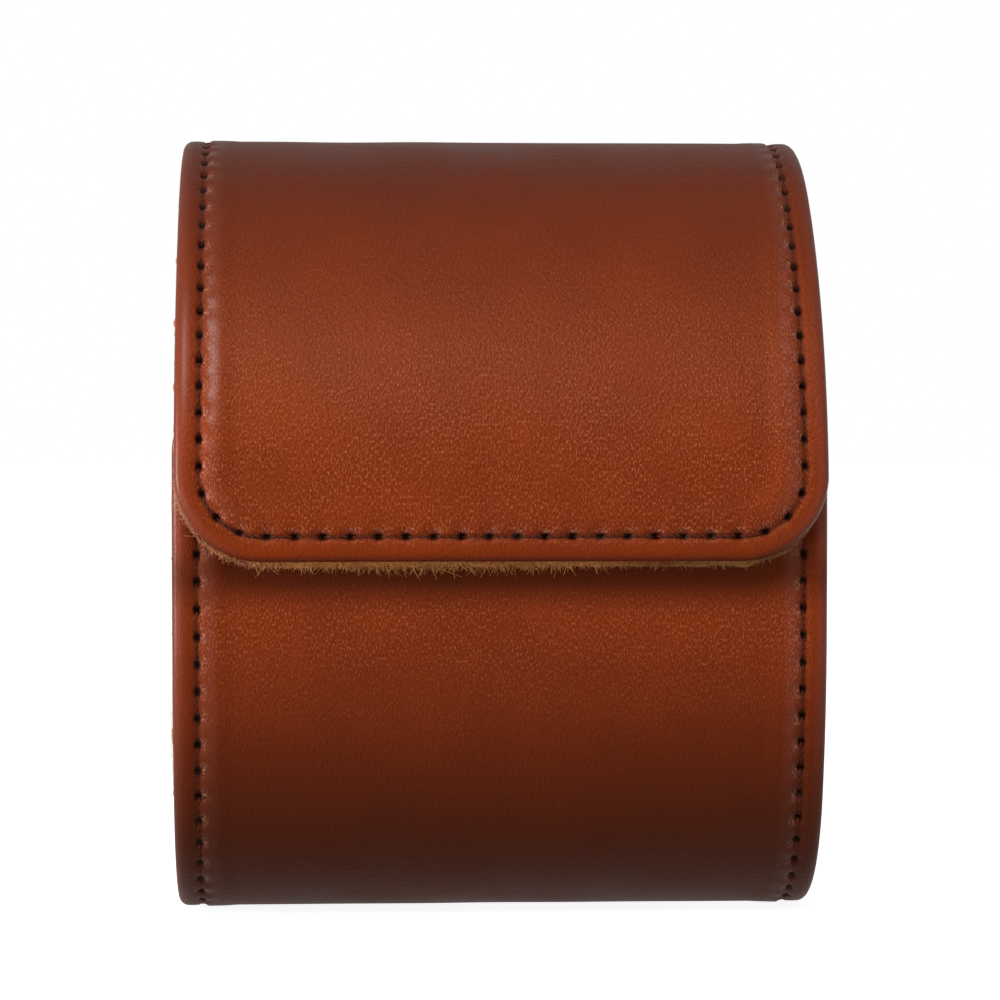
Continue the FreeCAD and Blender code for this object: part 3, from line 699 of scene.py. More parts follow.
@dataclass
class SideView:
    """Outer outline from the flap's edge over the crown, down the back, under and up the front."""

    height: float = 94.0 * MM
    depth: float = 70.0 * MM
    step: float = 4.25 * MM
    crest_share: float = 0.495
    belly_share: float = 0.367
    back_crest_share: float = 0.484
    top_setback_share: float = 0.5438
    top_round_share: float = 0.9395
    sole_front_share: float = 0.376
    sole_back_share: float = 0.7317
    front_foot_share: float = 0.9
    back_foot_share: float = 0.745
    flap_drop: float = 52.0 * MM
    flap_overlap: float = 20.0 * MM
    hinge_angle: float = 50.0
    hinge_length: float = 8.0 * MM
    lead: float = 10.0 * MM
    spacing: float = 0.2 * MM
    runs: list[tuple] = field(default_factory=list)

    def __post_init__(self) -> None:
        """Works out the arcs, end to end and clockwise."""
        front, back = -self.depth / 2, self.depth / 2
        flap_edge = self.height - self.flap_drop
        crest = self.height * self.crest_share
        belly = self.height * self.belly_share
        back_crest = self.height * self.back_crest_share
        crown_y = front + self.depth * self.top_setback_share
        self.crown_radius = (back - crown_y) * self.top_round_share
        self.crown = (crown_y, self.height - self.crown_radius)
        sole_front = front + self.depth * self.sole_front_share
        sole_back = front + self.depth * self.sole_back_share
        panel_front = front + self.step
        foot_radius = (sole_front - panel_front) * self.front_foot_share
        heel_radius = (back - sole_back) * self.back_foot_share
        flap_radius = self.larger(crown_y - front, self.height - crest, self.crown_radius)
        belly_radius = self.larger(sole_front - panel_front, belly, foot_radius)
        upper_radius = self.larger(back - crown_y, self.height - back_crest, self.crown_radius)
        lower_radius = self.larger(back - sole_back, back_crest, heel_radius)
        panel_radius = flap_radius - self.step
        flap = (front + flap_radius, crest)
        upper = (back - upper_radius, back_crest)
        lower = (back - lower_radius, back_crest)
        heel = (sole_back, heel_radius)
        foot = (sole_front, foot_radius)
        bulge = (panel_front + belly_radius, belly)
        over = self.bearing(flap, self.crown)
        behind = self.bearing(upper, self.crown)
        under = self.bearing(lower, heel)
        rise = self.bearing(bulge, foot) % (2 * math.pi)
        top = math.pi - math.asin((flap_edge + self.flap_overlap - crest) / panel_radius)
        self.straight((front, flap_edge - self.lead), (front, crest))
        self.round(flap, flap_radius, math.pi, over)
        before_crown = self.reached()
        self.round(self.crown, self.crown_radius, over, behind)
        self.round(upper, upper_radius, behind, 0.0)
        self.round(lower, lower_radius, 0.0, under)
        self.round(heel, heel_radius, under, -math.pi / 2)
        before_sole = self.reached()
        self.straight((sole_back, 0.0), (sole_front, 0.0))
        self.sole_middle = (before_sole + self.reached()) / 2
        self.round(foot, foot_radius, 1.5 * math.pi, rise)
        self.round(bulge, belly_radius, rise, math.pi)
        self.straight((panel_front, belly), (panel_front, crest))
        self.round(flap, panel_radius, math.pi, top)
        self.end = self.reached()
        self.round(flap, panel_radius, top, top - self.lead / panel_radius)
        middle = over - math.radians(90 - self.hinge_angle)
        self.hinge_end = before_crown + middle * self.crown_radius + self.hinge_length / 2

    @staticmethod
    def larger(run: float, rise: float, small: float) -> float:
        """Radius of the larger arc of a corner, tangent to its smaller arc."""
        return (run**2 + (rise - small) ** 2 - small**2) / (2 * (run - small))

    @staticmethod
    def bearing(start: Point, end: Point) -> float:
        """Direction from one point to another, in radians."""
        return math.atan2(end[1] - start[1], end[0] - start[0])

    def straight(self, start: Point, end: Point) -> None:
        """Adds a straight run."""
        self.runs.append((Run.STRAIGHT, math.dist(start, end), start, end))

    def round(self, centre: Point, radius: float, start: float, end: float) -> None:
        """Adds a clockwise arc."""
        self.runs.append((Run.ROUND, (start - end) * radius, centre, radius, start, end))

    def reached(self) -> float:
        """Length from the flap's edge to the end of the last run."""
        return sum(run[1] for run in self.runs) - self.lead

    def samples(self) -> list[Point]:
        """Gives points along the whole outline, from the lead before the flap's edge.

        Returns:
            The points.
        """
        points = []
        for kind, length, *shape in self.runs:
            count = max(2, round(length / self.spacing))
            for share in np.arange(count) / count:
                if kind is Run.STRAIGHT:
                    (y0, z0), (y1, z1) = shape
                    points.append((y0 + (y1 - y0) * share, z0 + (z1 - z0) * share))
                else:
                    (y, z), radius, start, end = shape
                    angle = start + (end - start) * share
                    points.append((y + radius * math.cos(angle), z + radius * math.sin(angle)))
        return points


def poly_curve(name: str, points: Sequence[Point], matrix: Matrix) -> bpy.types.Object:
    """Makes a flat guide curve through points.

    Args:
        name: Name of the curve.
        points: Points in the curve's own plane.
        matrix: Place of that plane.

    Returns:
        The curve, which isn't part of the object.
    """
    data = bpy.data.curves.new(name, "CURVE")
    data.dimensions = "2D"
    data.use_path = True
    data.use_deform_bounds = False
    data.use_radius = False
    spline = data.splines.new("POLY")
    spline.points.add(len(points) - 1)
    for point, (x, y) in zip(spline.points, points):
        point.co = (x, y, 0.0, 1.0)
    guide = linked(name, data)
    guide.matrix_world = matrix
    bpy.context.view_layer.update()
    return guide


@dataclass
class Panel:
    """Outline of a flat piece with two rounded corners at its first end."""

    width: float
    finished: float
    open_end: float
    corner: float
    flare: float = 0.0
    flare_length: float = 10.0 * MM
    hemmed: bool = True

    @property
    def way(self) -> int:
        """1 where the first end comes first along the outline, and -1 where it comes last."""
        return 1 if self.open_end > self.finished else -1

    @property
    def length(self) -> float:
        """Length from end to end."""
        return abs(self.open_end - self.finished)

    def half_width(self, depth: Array) -> Array:
        """Half of the width at a distance from the first end, with its flare."""
        near = np.clip(1 - (self.length - depth) / self.flare_length, 0, 1)
        return self.width / 2 + self.flare * near * near * (3 - 2 * near)

    def locate(self, x: Array, y: Array, inset: float) -> tuple[Array, Array]:
        """Finds points along and inside the finished edges.

        Args:
            x: Places across the piece.
            y: Places along the outline.
            inset: Distance of the row that lengths are measured on.

        Returns:
            Length along the row from its middle, and distance to the nearest finished edge.
        """
        depth = (y - self.finished) * self.way
        side = np.abs(x)
        half = self.half_width(depth)
        flat = half - self.corner
        bend = math.pi / 2 * (self.corner - inset)
        angle = np.arctan2(self.corner - depth, side - flat)
        reach = np.hypot(self.corner - depth, side - flat)
        in_corner = (side > flat) & (depth < self.corner)
        at_end = depth < half - side
        edge = np.where(in_corner, self.corner - reach, np.where(at_end, depth, half - side))
        row = np.where(
            in_corner,
            flat + (math.pi / 2 - angle) * (self.corner - inset),
            np.where(at_end, np.minimum(side, flat), flat + bend + depth - self.corner),
        )
        return np.where(x < 0, -row, row), edge

    def bend(self, inset: float) -> float:
        """Length of the row from its middle to the end of its rounded corner."""
        return self.width / 2 - self.corner + math.pi / 2 * (self.corner - inset)

    def row_length(self, inset: float) -> float:
        """Length of half of the row, from its middle to the open end."""
        return self.bend(inset) + self.length - self.corner

    def row_point(self, along: float, inset: float) -> Point:
        """Finds a point of the row.

        Args:
            along: Signed length from the row's middle.
            inset: Distance of the row from the edge.

        Returns:
            Its places across the piece and along the outline.
        """
        side = abs(along)
        flat = self.width / 2 - self.corner
        radius = self.corner - inset
        if side < flat:
            x, depth = side, inset
        elif side < self.bend(inset):
            angle = (side - flat) / radius
            x = flat + radius * math.sin(angle)
            depth = self.corner - radius * math.cos(angle)
        else:
            depth = side - self.bend(inset) + self.corner
            x = float(self.half_width(np.array(depth))) - inset
        return math.copysign(x, along), self.finished + self.way * depth


def crowded(distance: Array, limit: float, step: float, crowd: Sequence[float]) -> Array:
    """Even distances from an edge, with the first lines moved to the crowd's distances."""
    spread = np.arange(len(crowd)) * step
    return np.interp(distance, [*spread, limit], [*crowd, limit])


def flat_sheet(
    name: str, panel: Panel, step: float, crowd: Sequence[float], thickness: float
) -> tuple[bpy.types.Object, Array]:
    """Cuts a flat piece to a panel's outline, with its lines crowded at the finished edges.

    Args:
        name: Name of the piece.
        panel: Outline.
        step: Spacing of the mesh.
        crowd: Distances of the first lines from a finished edge.
        thickness: Thickness of the sheet, downwards from zero.

    Returns:
        The piece and a mask of its lower points.
    """
    columns = 2 * round(panel.width / step / 2)
    rows = round(panel.length / step)
    bpy.ops.object.select_all(action="DESELECT")
    bpy.ops.mesh.primitive_grid_add(x_subdivisions=columns, y_subdivisions=rows, size=1.0)
    bpy.ops.transform.resize(value=(panel.width, panel.length, 1.0))
    sheet = named(name)
    flat = points_of(sheet)
    half, ends = panel.width / 2, crowd if panel.hemmed else (0.0,)
    side = crowded(half - np.abs(flat[:, 0]), panel.width, step, crowd)
    depth = crowded(flat[:, 1] + panel.length / 2, panel.length, step, ends)
    across = panel.corner - side
    down = panel.corner - depth
    ring = np.maximum(across, down)
    square = (across > 0) & (down > 0)
    with np.errstate(divide="ignore", invalid="ignore"):
        turn = np.where(across >= down, down / across, 2 - across / down) * math.pi / 4
    inner = half - panel.corner
    x = np.where(square, inner + ring * np.cos(turn), half - side)
    depth = np.where(square, panel.corner - ring * np.sin(turn), depth)
    x = x + (panel.half_width(depth) - half) * np.clip(x / inner, 0, 1)
    middle = (flat[:, 0] == 0) & (not panel.hemmed)
    flat[:, 0] = np.where(middle, 0, np.where(flat[:, 0] < 0, -x, x))
    flat[:, 1] = panel.finished + panel.way * depth
    place_points(sheet, flat)
    if panel.way < 0:
        sheet.data.flip_normals()
    apply_modifier(sheet, "SOLIDIFY", thickness=thickness, offset=-1.0, use_even_offset=False)
    return sheet, points_of(sheet)[:, 2] < -thickness / 2


def rounded(edge: Array, radius: float) -> Array:
    """Drop of a rounded edge at distances from it."""
    reach = np.clip(radius - edge, 0, radius)
    return radius - np.sqrt(np.maximum(radius**2 - reach**2, 0))


def hump(value: Array, centre: float, reach: float) -> Array:
    """1 at the centre, falling smoothly to 0 at the reach on both sides."""
    near = np.clip(1 - np.abs(value - centre) / reach, 0, 1)
    return near * near * (3 - 2 * near)


def value_noise(x: Array, y: Array, size: float, seed: int) -> Array:
    """Smooth random relief between -1 and 1 with features of a given size.

    Args:
        x: First coordinates.
        y: Second coordinates.
        size: Size of the features.
        seed: Seed of the random values.

    Returns:
        The relief at each point.
    """
    table = np.random.default_rng(seed).uniform(-1, 1, (256, 256))
    u, v = x / size + 128.0, y / size + 128.0
    column, line = np.floor(u).astype(int), np.floor(v).astype(int)
    a, b = u - column, v - line
    a, b = a * a * (3 - 2 * a), b * b * (3 - 2 * b)

    def at(i: int, j: int) -> Array:
        """Random value of a corner of each cell."""
        return table[(column + i) % 256, (line + j) % 256]

    low = at(0, 0) * (1 - a) + at(1, 0) * a
    high = at(0, 1) * (1 - a) + at(1, 1) * a
    return low * (1 - b) + high * b


@dataclass
class Stitching:
    """One stitch row's spacing and thread."""

    pitch: float
    inset: float = 2.9 * MM
    thread: float = 0.44 * MM
    sunk: float = 0.34 * MM
    dive: float = 0.62 * MM


@dataclass
class Wrap:
    """Wraps flat pieces round the side outline."""

    side: SideView

    def __post_init__(self) -> None:
        """Makes the guide curve, x of a piece along it and y outwards."""
        upright = Matrix(((0, 0, 1, 0), (1, 0, 0, 0), (0, 1, 0, 0), (0, 0, 0, 1)))
        self.guide = poly_curve("side_outline", self.side.samples(), upright)

    def wrap(self, piece: bpy.types.Object) -> None:
        """Bends a flat piece, y along the outline and z outwards, to its place.

        Args:
            piece: The flat piece.
        """
        rows = points_of(piece)
        rows[:, 1] += self.side.lead
        place_points(piece, rows)
        apply_modifier(piece, "CURVE", object=self.guide, deform_axis="POS_X")

    def remove(self) -> None:
        """Deletes the guide curve."""
        bpy.data.objects.remove(self.guide)


# Pieces of the wall


@dataclass
class WallPiece:
    """Piece of the wall that is made flat and then wrapped round the side outline."""

    name: str
    panel: Panel
    seed: int
    nodes: tuple[str, ...]

    def build(self, wrap: Wrap, material: bpy.types.Material, slot: str) -> bpy.types.Object:
        """Makes the piece, wraps it round the case and dresses it.

        Args:
            wrap: Guide that flat pieces are wrapped round.
            material: Its material.
            slot: Not used.

        Returns:
            The finished piece.
        """
        piece = self.flat()
        wrap.wrap(piece)
        self.finish(piece)
        dress(piece, material)
        if self.nodes:
            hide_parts(*self.nodes)
        LOG.info("%s: %d faces", piece.name, len(piece.data.polygons))
        return piece

    def flat(self) -> bpy.types.Object:
        """Makes the flat piece, with its outer face upwards."""
        raise NotImplementedError

    def finish(self, piece: bpy.types.Object) -> None:
        """Shades the wrapped piece."""
        smooth(piece, 60)


@dataclass
class Leather(WallPiece):
    """Outer leather of one part of the wall, turned in at its finished edges."""

    stitching: Stitching
    step: float
    outline: Panel | None = None
    thickness: float = 1.1 * MM
    hem_depth: float = 2.85 * MM
    hem_width: float = 3.6 * MM
    hem_step: float = 0.5 * MM
    crowd: tuple[float, ...] = tuple(
        0.01 * MM * d
        for d in (0, 7, 24, 50, 85, 130, 185, 235, 265, 290, 315, 350, 410, 490, 590)
    )
    edge_round: float = 1.1 * MM
    under_round: float = 0.5 * MM
    groove: float = 0.27 * MM
    groove_reach: float = 0.75 * MM
    puff: float = 0.1 * MM
    corner_puff: float = 0.26 * MM
    corner_reach: float = 22.0 * MM
    puff_centre: float = 5.0 * MM
    puff_reach: float = 2.3 * MM
    hole: float = 0.6 * MM
    hole_reach: float = 0.62 * MM
    pucker: float = 0.12 * MM
    pucker_side: float = 0.5 * MM
    pucker_reach: float = 1.3 * MM
    wobble: float = 0.05 * MM
    wobble_size: float = 9.0 * MM
    # Painted shadow of the flap's edge on the panel below it: strength, height and reach.
    painted_shadow: float = 0.0
    painted_shadow_level: float = 41.2 * MM
    painted_shadow_reach: float = 4.6 * MM
    # Painted shade: heights, and how much darker the leather is painted at each, most at the foot
    # and the crown.
    painted_shade_levels: tuple[float, ...] = tuple(
        MM * level for level in (0, 10, 15, 21, 27, 33, 38, 58, 68, 78, 86, 94)
    )
    painted_light_and_shade: tuple[float, ...] = (
        0.92, 0.8, 0.7, 0.5, 0.26, 0.06, 0.0, 0.0, 0.12, 0.33, 0.54, 0.86,
    )

    def flat(self) -> bpy.types.Object:
        """Cuts and embosses the sheet.

        Returns:
            The flat sheet.
        """
        panel = self.panel
        sheet, lower = flat_sheet(self.name, panel, self.step, self.crowd, self.thickness)
        rows = points_of(sheet)
        x, y = rows[:, 0], rows[:, 1]
        along, edge = (self.outline or panel).locate(x, y, self.stitching.inset)
        rows[:, 2] = np.where(lower, self.underside(edge), self.face(x, y, along, edge))
        place_points(sheet, rows)
        turned = self.hem_depth * np.exp(-np.maximum(edge, 0) / MM)
        set_uv(sheet, "pattern", x, y - panel.way * np.where(lower & panel.hemmed, turned, 0))
        set_uv(sheet, "seam", along, edge)
        return sheet

    def finish(self, piece: bpy.types.Object) -> None:
        """Stores painted shade on the points: darker towards the foot and the crown, and a painted
        shadow under the flap's edge.

        Args:
            piece: The wrapped piece.
        """
        level = points_of(piece)[:, 2]
        dark = np.interp(level, self.painted_shade_levels, self.painted_light_and_shade)
        # Painted shadow under the flap's edge.
        dark += self.painted_shadow * hump(level, self.painted_shadow_level, self.painted_shadow_reach)
        layer = piece.data.attributes.new("painted_shade", "FLOAT", "POINT")
        layer.data.foreach_set("value", dark.astype(np.float32))
        smooth(piece)

    def underside(self, edge: Array) -> Array:
        """Shapes the turned edge, and the sheet itself inside it.

        Args:
            edge: Distances to the nearest finished edge.

        Returns:
            Heights of the lower face.
        """
        inside = np.clip((edge - self.hem_width) / self.hem_step, 0, 1)
        hem = -self.hem_depth + rounded(edge, self.under_round)
        return hem * (1 - inside) - self.thickness * inside

    def face(self, x: Array, y: Array, along: Array, edge: Array) -> Array:
        """Embosses the outer face: rounded rim, groove, needle holes, puckers and soft puff.

        Args:
            x: Places across the piece.
            y: Places along the outline.
            along: Lengths along the stitch row.
            edge: Distances to the nearest finished edge.

        Returns:
            Heights of the outer face.
        """
        row = self.stitching
        count = np.floor(along / row.pitch).astype(int)
        rng = np.random.default_rng(self.seed)
        vigour = 1 + 0.35 * rng.uniform(-1, 1, 512)[count % 512]
        gap = (along / row.pitch - 0.5) - np.round(along / row.pitch - 0.5)
        gap = np.abs(gap) * row.pitch
        holes = hump(gap, 0.0, self.hole_reach) * hump(edge, row.inset, self.hole_reach)
        middle = np.cos(np.clip(gap / row.pitch, 0, 0.5) * 2 * math.pi)
        folds = middle * hump(edge, row.inset + self.pucker_side, self.pucker_reach)
        near_bend = hump(np.abs(along), self.panel.bend(row.inset), self.corner_reach)
        swell = self.puff + self.corner_puff * near_bend
        uneven = value_noise(x, y, self.wobble_size, self.seed)
        height = -rounded(edge, self.edge_round)
        height -= self.groove * hump(edge, row.inset, self.groove_reach)
        height += swell * hump(edge, self.puff_centre, self.puff_reach)
        height -= (self.hole * holes + self.pucker * folds) * vigour
        height += self.wobble * uneven * np.clip(edge / (2 * MM), 0, 1)
        return height


@dataclass
class Stitches(WallPiece):
    """Stitches of one row, each a short thread that dives into its holes."""

    stitching: Stitching
    sides: int = 8
    cuts: int = 5
    taper: float = 0.35
    taper_from: float = 0.55
    dive_from: float = 0.5
    short: float = 0.06
    margin: float = 0.2 * MM
    lead: float = 5.0 * MM
    guide_step: float = 0.15 * MM
    ply_radius: float = 0.2 * MM
    lean: float = 0.035
    lift: float = 0.04 * MM
    girth: float = 0.08

    def flat(self) -> bpy.types.Object:
        """Makes one stitch and repeats it along the row.

        Returns:
            The flat row.
        """
        row = self.stitching
        half = self.panel.row_length(row.inset)
        count = 2 * int((half - self.margin) / row.pitch + 0.5) - 1
        stitch = lying_cylinder(self.name, self.sides, row.thread / 2, row.pitch, self.cuts)
        rows = points_of(stitch)
        share = np.abs(rows[:, 0]) / (row.pitch / 2)
        narrow = np.clip(share - self.taper_from, 0, 1) / (1 - self.taper_from)
        deep = np.clip((share - self.dive_from) / (1 - self.dive_from), 0, 1)
        rows[:, 1:] *= (1 - self.taper * narrow)[:, None]
        rows[:, 2] -= row.sunk + row.dive * deep**2
        rows[:, 0] *= 1 - self.short * share
        place_points(stitch, rows)
        apply_modifier(
            stitch,
            "ARRAY",
            count=count,
            use_relative_offset=False,
            use_constant_offset=True,
            constant_offset_displace=(row.pitch, 0.0, 0.0),
        )
        self.vary(stitch, count)
        reach = half + self.lead
        rows = points_of(stitch)
        rows[:, 0] += reach - (count - 1) / 2 * row.pitch
        place_points(stitch, rows)
        lengths = np.linspace(-reach, reach, round(2 * reach / self.guide_step) + 1)
        points = [self.panel.row_point(length, row.inset) for length in lengths]
        guide = poly_curve("row_guide", points, Matrix.Identity(4))
        apply_modifier(stitch, "CURVE", object=guide, deform_axis="POS_X")
        bpy.data.objects.remove(guide)
        return stitch

    def vary(self, stitch: bpy.types.Object, count: int) -> None:
        """Varies the stitches' lean, height and girth, and writes their own lengths as UV.

        Args:
            stitch: The straight row.
            count: Number of its stitches.
        """
        rows = points_of(stitch).reshape(count, -1, 3)
        rng = np.random.default_rng(self.seed)
        lean = rng.normal(0, self.lean, count)[:, None]
        lift = rng.normal(0, self.lift, count)[:, None]
        girth = rng.normal(1, self.girth, count)[:, None]
        centre = rows[:, :, 0].mean(axis=1, keepdims=True)
        around = np.arctan2(rows[:, :, 2], rows[:, :, 1]) * self.ply_radius
        set_uv(stitch, "pattern", rows[:, :, 0].ravel(), around.ravel())
        rows[:, :, 1] = rows[:, :, 1] * girth + (rows[:, :, 0] - centre) * lean
        rows[:, :, 2] += lift
        place_points(stitch, rows.reshape(-1, 3))


@dataclass
class Lining(WallPiece):
    """Suede lining of one part of the wall, with a rough cut edge."""

    step: float = 0.8 * MM
    top: float = 2.95 * MM
    thickness: float = 1.0 * MM
    crowd: tuple[float, ...] = tuple(MM * d for d in (0, 0.25, 0.6, 1.2, 2.0, 2.9))
    ragged: float = 0.26 * MM
    ragged_reach: float = 0.4 * MM
    fine_size: float = 0.9 * MM
    broad_size: float = 2.6 * MM
    edge_round: float = 0.3 * MM
    nap: float = 0.05 * MM
    nap_size: float = 1.7 * MM

    def flat(self) -> bpy.types.Object:
        """Cuts the sheet with its ragged edge and its nap.

        Returns:
            The flat sheet.
        """
        panel = self.panel
        sheet, lower = flat_sheet(self.name, panel, self.step, self.crowd, self.thickness)
        rows = points_of(sheet)
        x, y = rows[:, 0].copy(), rows[:, 1].copy()
        edge = panel.locate(x, y, 0.0)[1]
        rough = value_noise(x, y, self.fine_size, self.seed)
        rough += 0.6 * value_noise(x, y, self.broad_size, self.seed + 1)
        near = np.exp(-np.maximum(edge, 0) / self.ragged_reach) * self.ragged * rough
        at_side = panel.half_width(np.zeros_like(x)) - np.abs(x) < edge + 0.1 * MM
        rows[:, 0] += np.sign(x) * np.where(at_side, near, 0.0)
        rows[:, 1] -= panel.way * np.where(at_side, 0.0, near)
        rim = rounded(edge, self.edge_round)
        soft = self.nap * value_noise(x, y, self.nap_size, self.seed + 2)
        rows[:, 2] = np.where(lower, -self.top - self.thickness + rim + soft, -self.top - rim)
        place_points(sheet, rows)
        return sheet


@dataclass
class Nap(WallPiece):
    """Loose fibres along a suede edge."""

    per_metre: float
    length: float
    extra: float
    span: Point
    thickest: float = -8.0 * MM
    thick_reach: float = 21.0 * MM
    top: float = 2.95 * MM
    thickness: float = 1.0 * MM
    girth: float = 0.075 * MM
    slimming: float = 0.85
    unlike: float = 0.45
    shallow: float = 0.25 * MM
    root_depth: float = 0.25 * MM
    lean: Point = (0.75, 0.45)
    curl: Point = (0.5, 0.4)
    sides: int = 3
    joints: int = 3

    def flat(self) -> bpy.types.Object:
        """Scatters bent fibres along the edge.

        Returns:
            All of them as one mesh.
        """
        rng = np.random.default_rng(self.seed)
        half = self.panel.row_length(0.0)
        low, high = self.span
        count = int((high - low) * half * 2 * self.per_metre)
        points = [point for _ in range(count) for point in self.fibre(rng, half)]
        sides, last = self.sides, (self.joints - 1) * self.sides
        tube = [
            (base + corner, base + after, base + sides + after, base + sides + corner)
            for base in range(0, last, sides)
            for corner, after in zip(range(sides), (*range(1, sides), 0))
        ]
        tube += [tuple(range(last, last + sides)), tuple(range(sides))[::-1]]
        starts = range(0, len(points), last + sides)
        faces = [tuple(start + corner for corner in face) for start in starts for face in tube]
        data = bpy.data.meshes.new(self.name)
        data.from_pydata(points, [], faces)
        return linked(self.name, data)

    def finish(self, piece: bpy.types.Object) -> None:
        """Turns the fibres' faces outwards.

        Args:
            piece: The wrapped fibres.
        """
        select_only(piece)
        bpy.ops.object.mode_set(mode="EDIT")
        bpy.ops.mesh.select_all(action="SELECT")
        bpy.ops.mesh.normals_make_consistent(inside=False)
        bpy.ops.object.mode_set(mode="OBJECT")

    def fibre(self, rng: np.random.Generator, half: float) -> list[Place]:
        """Bends one fibre, longest and thickest set at one place of the edge.

        Args:
            rng: Source of random values.
            half: Half of the edge's length.

        Returns:
            Its points, ring by ring from the root.
        """
        along = rng.choice((-1, 1)) * half * rng.uniform(*self.span)
        x, y = self.panel.row_point(along, 0.0)
        ahead = self.panel.row_point(along + 0.1 * MM, 0.0)
        run = Vector((ahead[0] - x, ahead[1] - y, 0.0)).normalized()
        out = Vector((run.y, -run.x, 0.0)) * self.panel.way
        longer = math.exp(-(((x - self.thickest) / self.thick_reach) ** 2))
        length = (self.length + self.extra * longer) * rng.lognormal(0.0, self.unlike)
        height = self.thickness * rng.uniform(-0.05, 0.9)
        root = Vector((x, y, -self.top - max(height, 0.0)))
        root -= out * (rng.uniform(0.1, 0.9) * MM if height < self.shallow else self.root_depth)
        lean, bend = (
            run * rng.normal(0, beside) + Vector((0, 0, rng.normal(0, upwards)))
            for beside, upwards in (self.lean, self.curl)
        )
        heading = (out + lean).normalized()
        across = heading.cross(Vector((0.1, 0.2, 1.0))).normalized()
        beside = heading.cross(across)
        points = []
        for joint in range(self.joints):
            share = joint / (self.joints - 1)
            centre = root + heading * length * share + bend * length * share * share * 0.5
            size = self.girth * (1 - self.slimming * share) * rng.uniform(0.8, 1.2)
            for corner in range(self.sides):
                angle = 2 * math.pi * corner / self.sides
                ring = across * size * math.cos(angle) + beside * size * math.sin(angle)
                points.append(tuple(centre + ring))
        return points


@dataclass
class Case:
    """The wall: leather, stitching and suede of the shell and of the flap with its hinge."""

    side: SideView = field(default_factory=SideView)
    shell_width: float = 76.6 * MM
    flap_width: float = 75.8 * MM
    flap_rise: float = 1.1 * MM
    flap_corner: float = 10.2 * MM
    flap_hem: float = 2.2 * MM
    panel_corner: float = 6.0 * MM
    overhang: float = 0.62 * MM
    stitch_length: float = 3.2 * MM
    fine: float = 7.0
    coarse: float = 6.0
    lining_depth: float = 4.0 * MM
    bend_length: float = 7.4 * MM
    # Painted light: the loose fibres get a lighter copy of the suede's colours, as they stand out
    # into the light.
    fibre: SuedeFinish = SuedeFinish(
        "suede_fibre_painted_lit",
        deep=srgb(186, 104, 44),
        light=srgb(255, 196, 116),
        left=srgb(196, 128, 98),
    )

    def __post_init__(self) -> None:
        """Works out the outlines of the flat pieces and the stitch length that fits them."""
        side, width = self.side, self.shell_width
        flare = (width - self.flap_width) / 2
        self.flap = Panel(self.flap_width, self.flap_rise, side.hinge_end, self.flap_corner, flare)
        self.hang = replace(self.flap, finished=self.flap_rise - self.overhang)
        self.whole = Panel(width, side.end, side.hinge_end, self.panel_corner)
        self.front = replace(self.whole, open_end=side.sole_middle)
        self.rear = Panel(width, side.hinge_end, side.sole_middle, 0.0, hemmed=False)
        inset = Stitching(self.stitch_length).inset
        length = self.flap.row_length(inset) + self.whole.row_length(inset)
        self.stitching = Stitching(length / round(length / self.stitch_length))

    def blended(self, piece: bpy.types.Object) -> None:
        """Works out the hinge's bend points, which are not used, and bakes the piece's place into
        its points.

        Args:
            piece: The piece.
        """
        side = self.side
        middle = math.radians(90 - side.hinge_angle)
        low = middle - side.hinge_length / 2 / side.crown_radius
        reach = side.crown_radius - self.lining_depth
        y = side.crown[0] + reach * math.cos(low)
        z = side.crown[1] + reach * math.sin(low)
        y1 = y - self.bend_length * math.sin(middle)
        z1 = z + self.bend_length * math.cos(middle)
        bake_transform(piece)

    def build(self) -> None:
        """Makes and dresses every piece of the wall."""
        wrap, row = Wrap(self.side), self.stitching
        flap, front, rear, whole, hang = self.flap, self.front, self.rear, self.whole, self.hang
        fine, coarse, hem = row.pitch / self.fine, row.pitch / self.coarse, self.flap_hem
        covers = (
            Leather(
                "flap_cover", flap, 11, ("flap_leather", "hinge_leather"), row, fine, hem_width=hem
            ),
            # The front panel gets the painted shadow under the flap.
            Leather("front_panel_cover", front, 12, ("shell_leather",), row, fine, painted_shadow=0.5),
            Leather("back_cover", rear, 13, ("shell_leather",), row, coarse, outline=whole),
        )
        rows = (
            Stitches("flap_stitches", flap, 21, ("flap_thread", "hinge_thread"), row),
            Stitches("shell_stitches", whole, 22, ("shell_thread",), row),
        )
        linings = (
            Lining("flap_suede", hang, 31, ("flap_lining", "hinge_lining")),
            Lining("shell_suede", whole, 32, ("shell_lining",)),
        )
        naps = (
            Nap("flap_nap", hang, 41, (), 40000.0, 0.3 * MM, 0.42 * MM, (0.0, 0.335)),
            Nap("shell_nap", whole, 42, (), 4500.0, 0.16 * MM, 0.0, (0.0, 0.99)),
        )
        leather = LeatherFinish("cognac_leather", row.pitch, row.inset)
        for finish, slot, makers in (
            (leather, "outer_leather", covers),
            (ThreadFinish("brown_thread"), "stitching_thread", rows),
            (SuedeFinish("golden_suede"), "suede_lining", linings),
            (self.fibre, "suede_lining", naps),
        ):
            material = finish.build()
            for maker in makers:
                piece = maker.build(wrap, material, slot)
                if maker.panel in (flap, hang):
                    self.blended(piece)
                else:
                    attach(piece, "shell")
        wrap.remove()


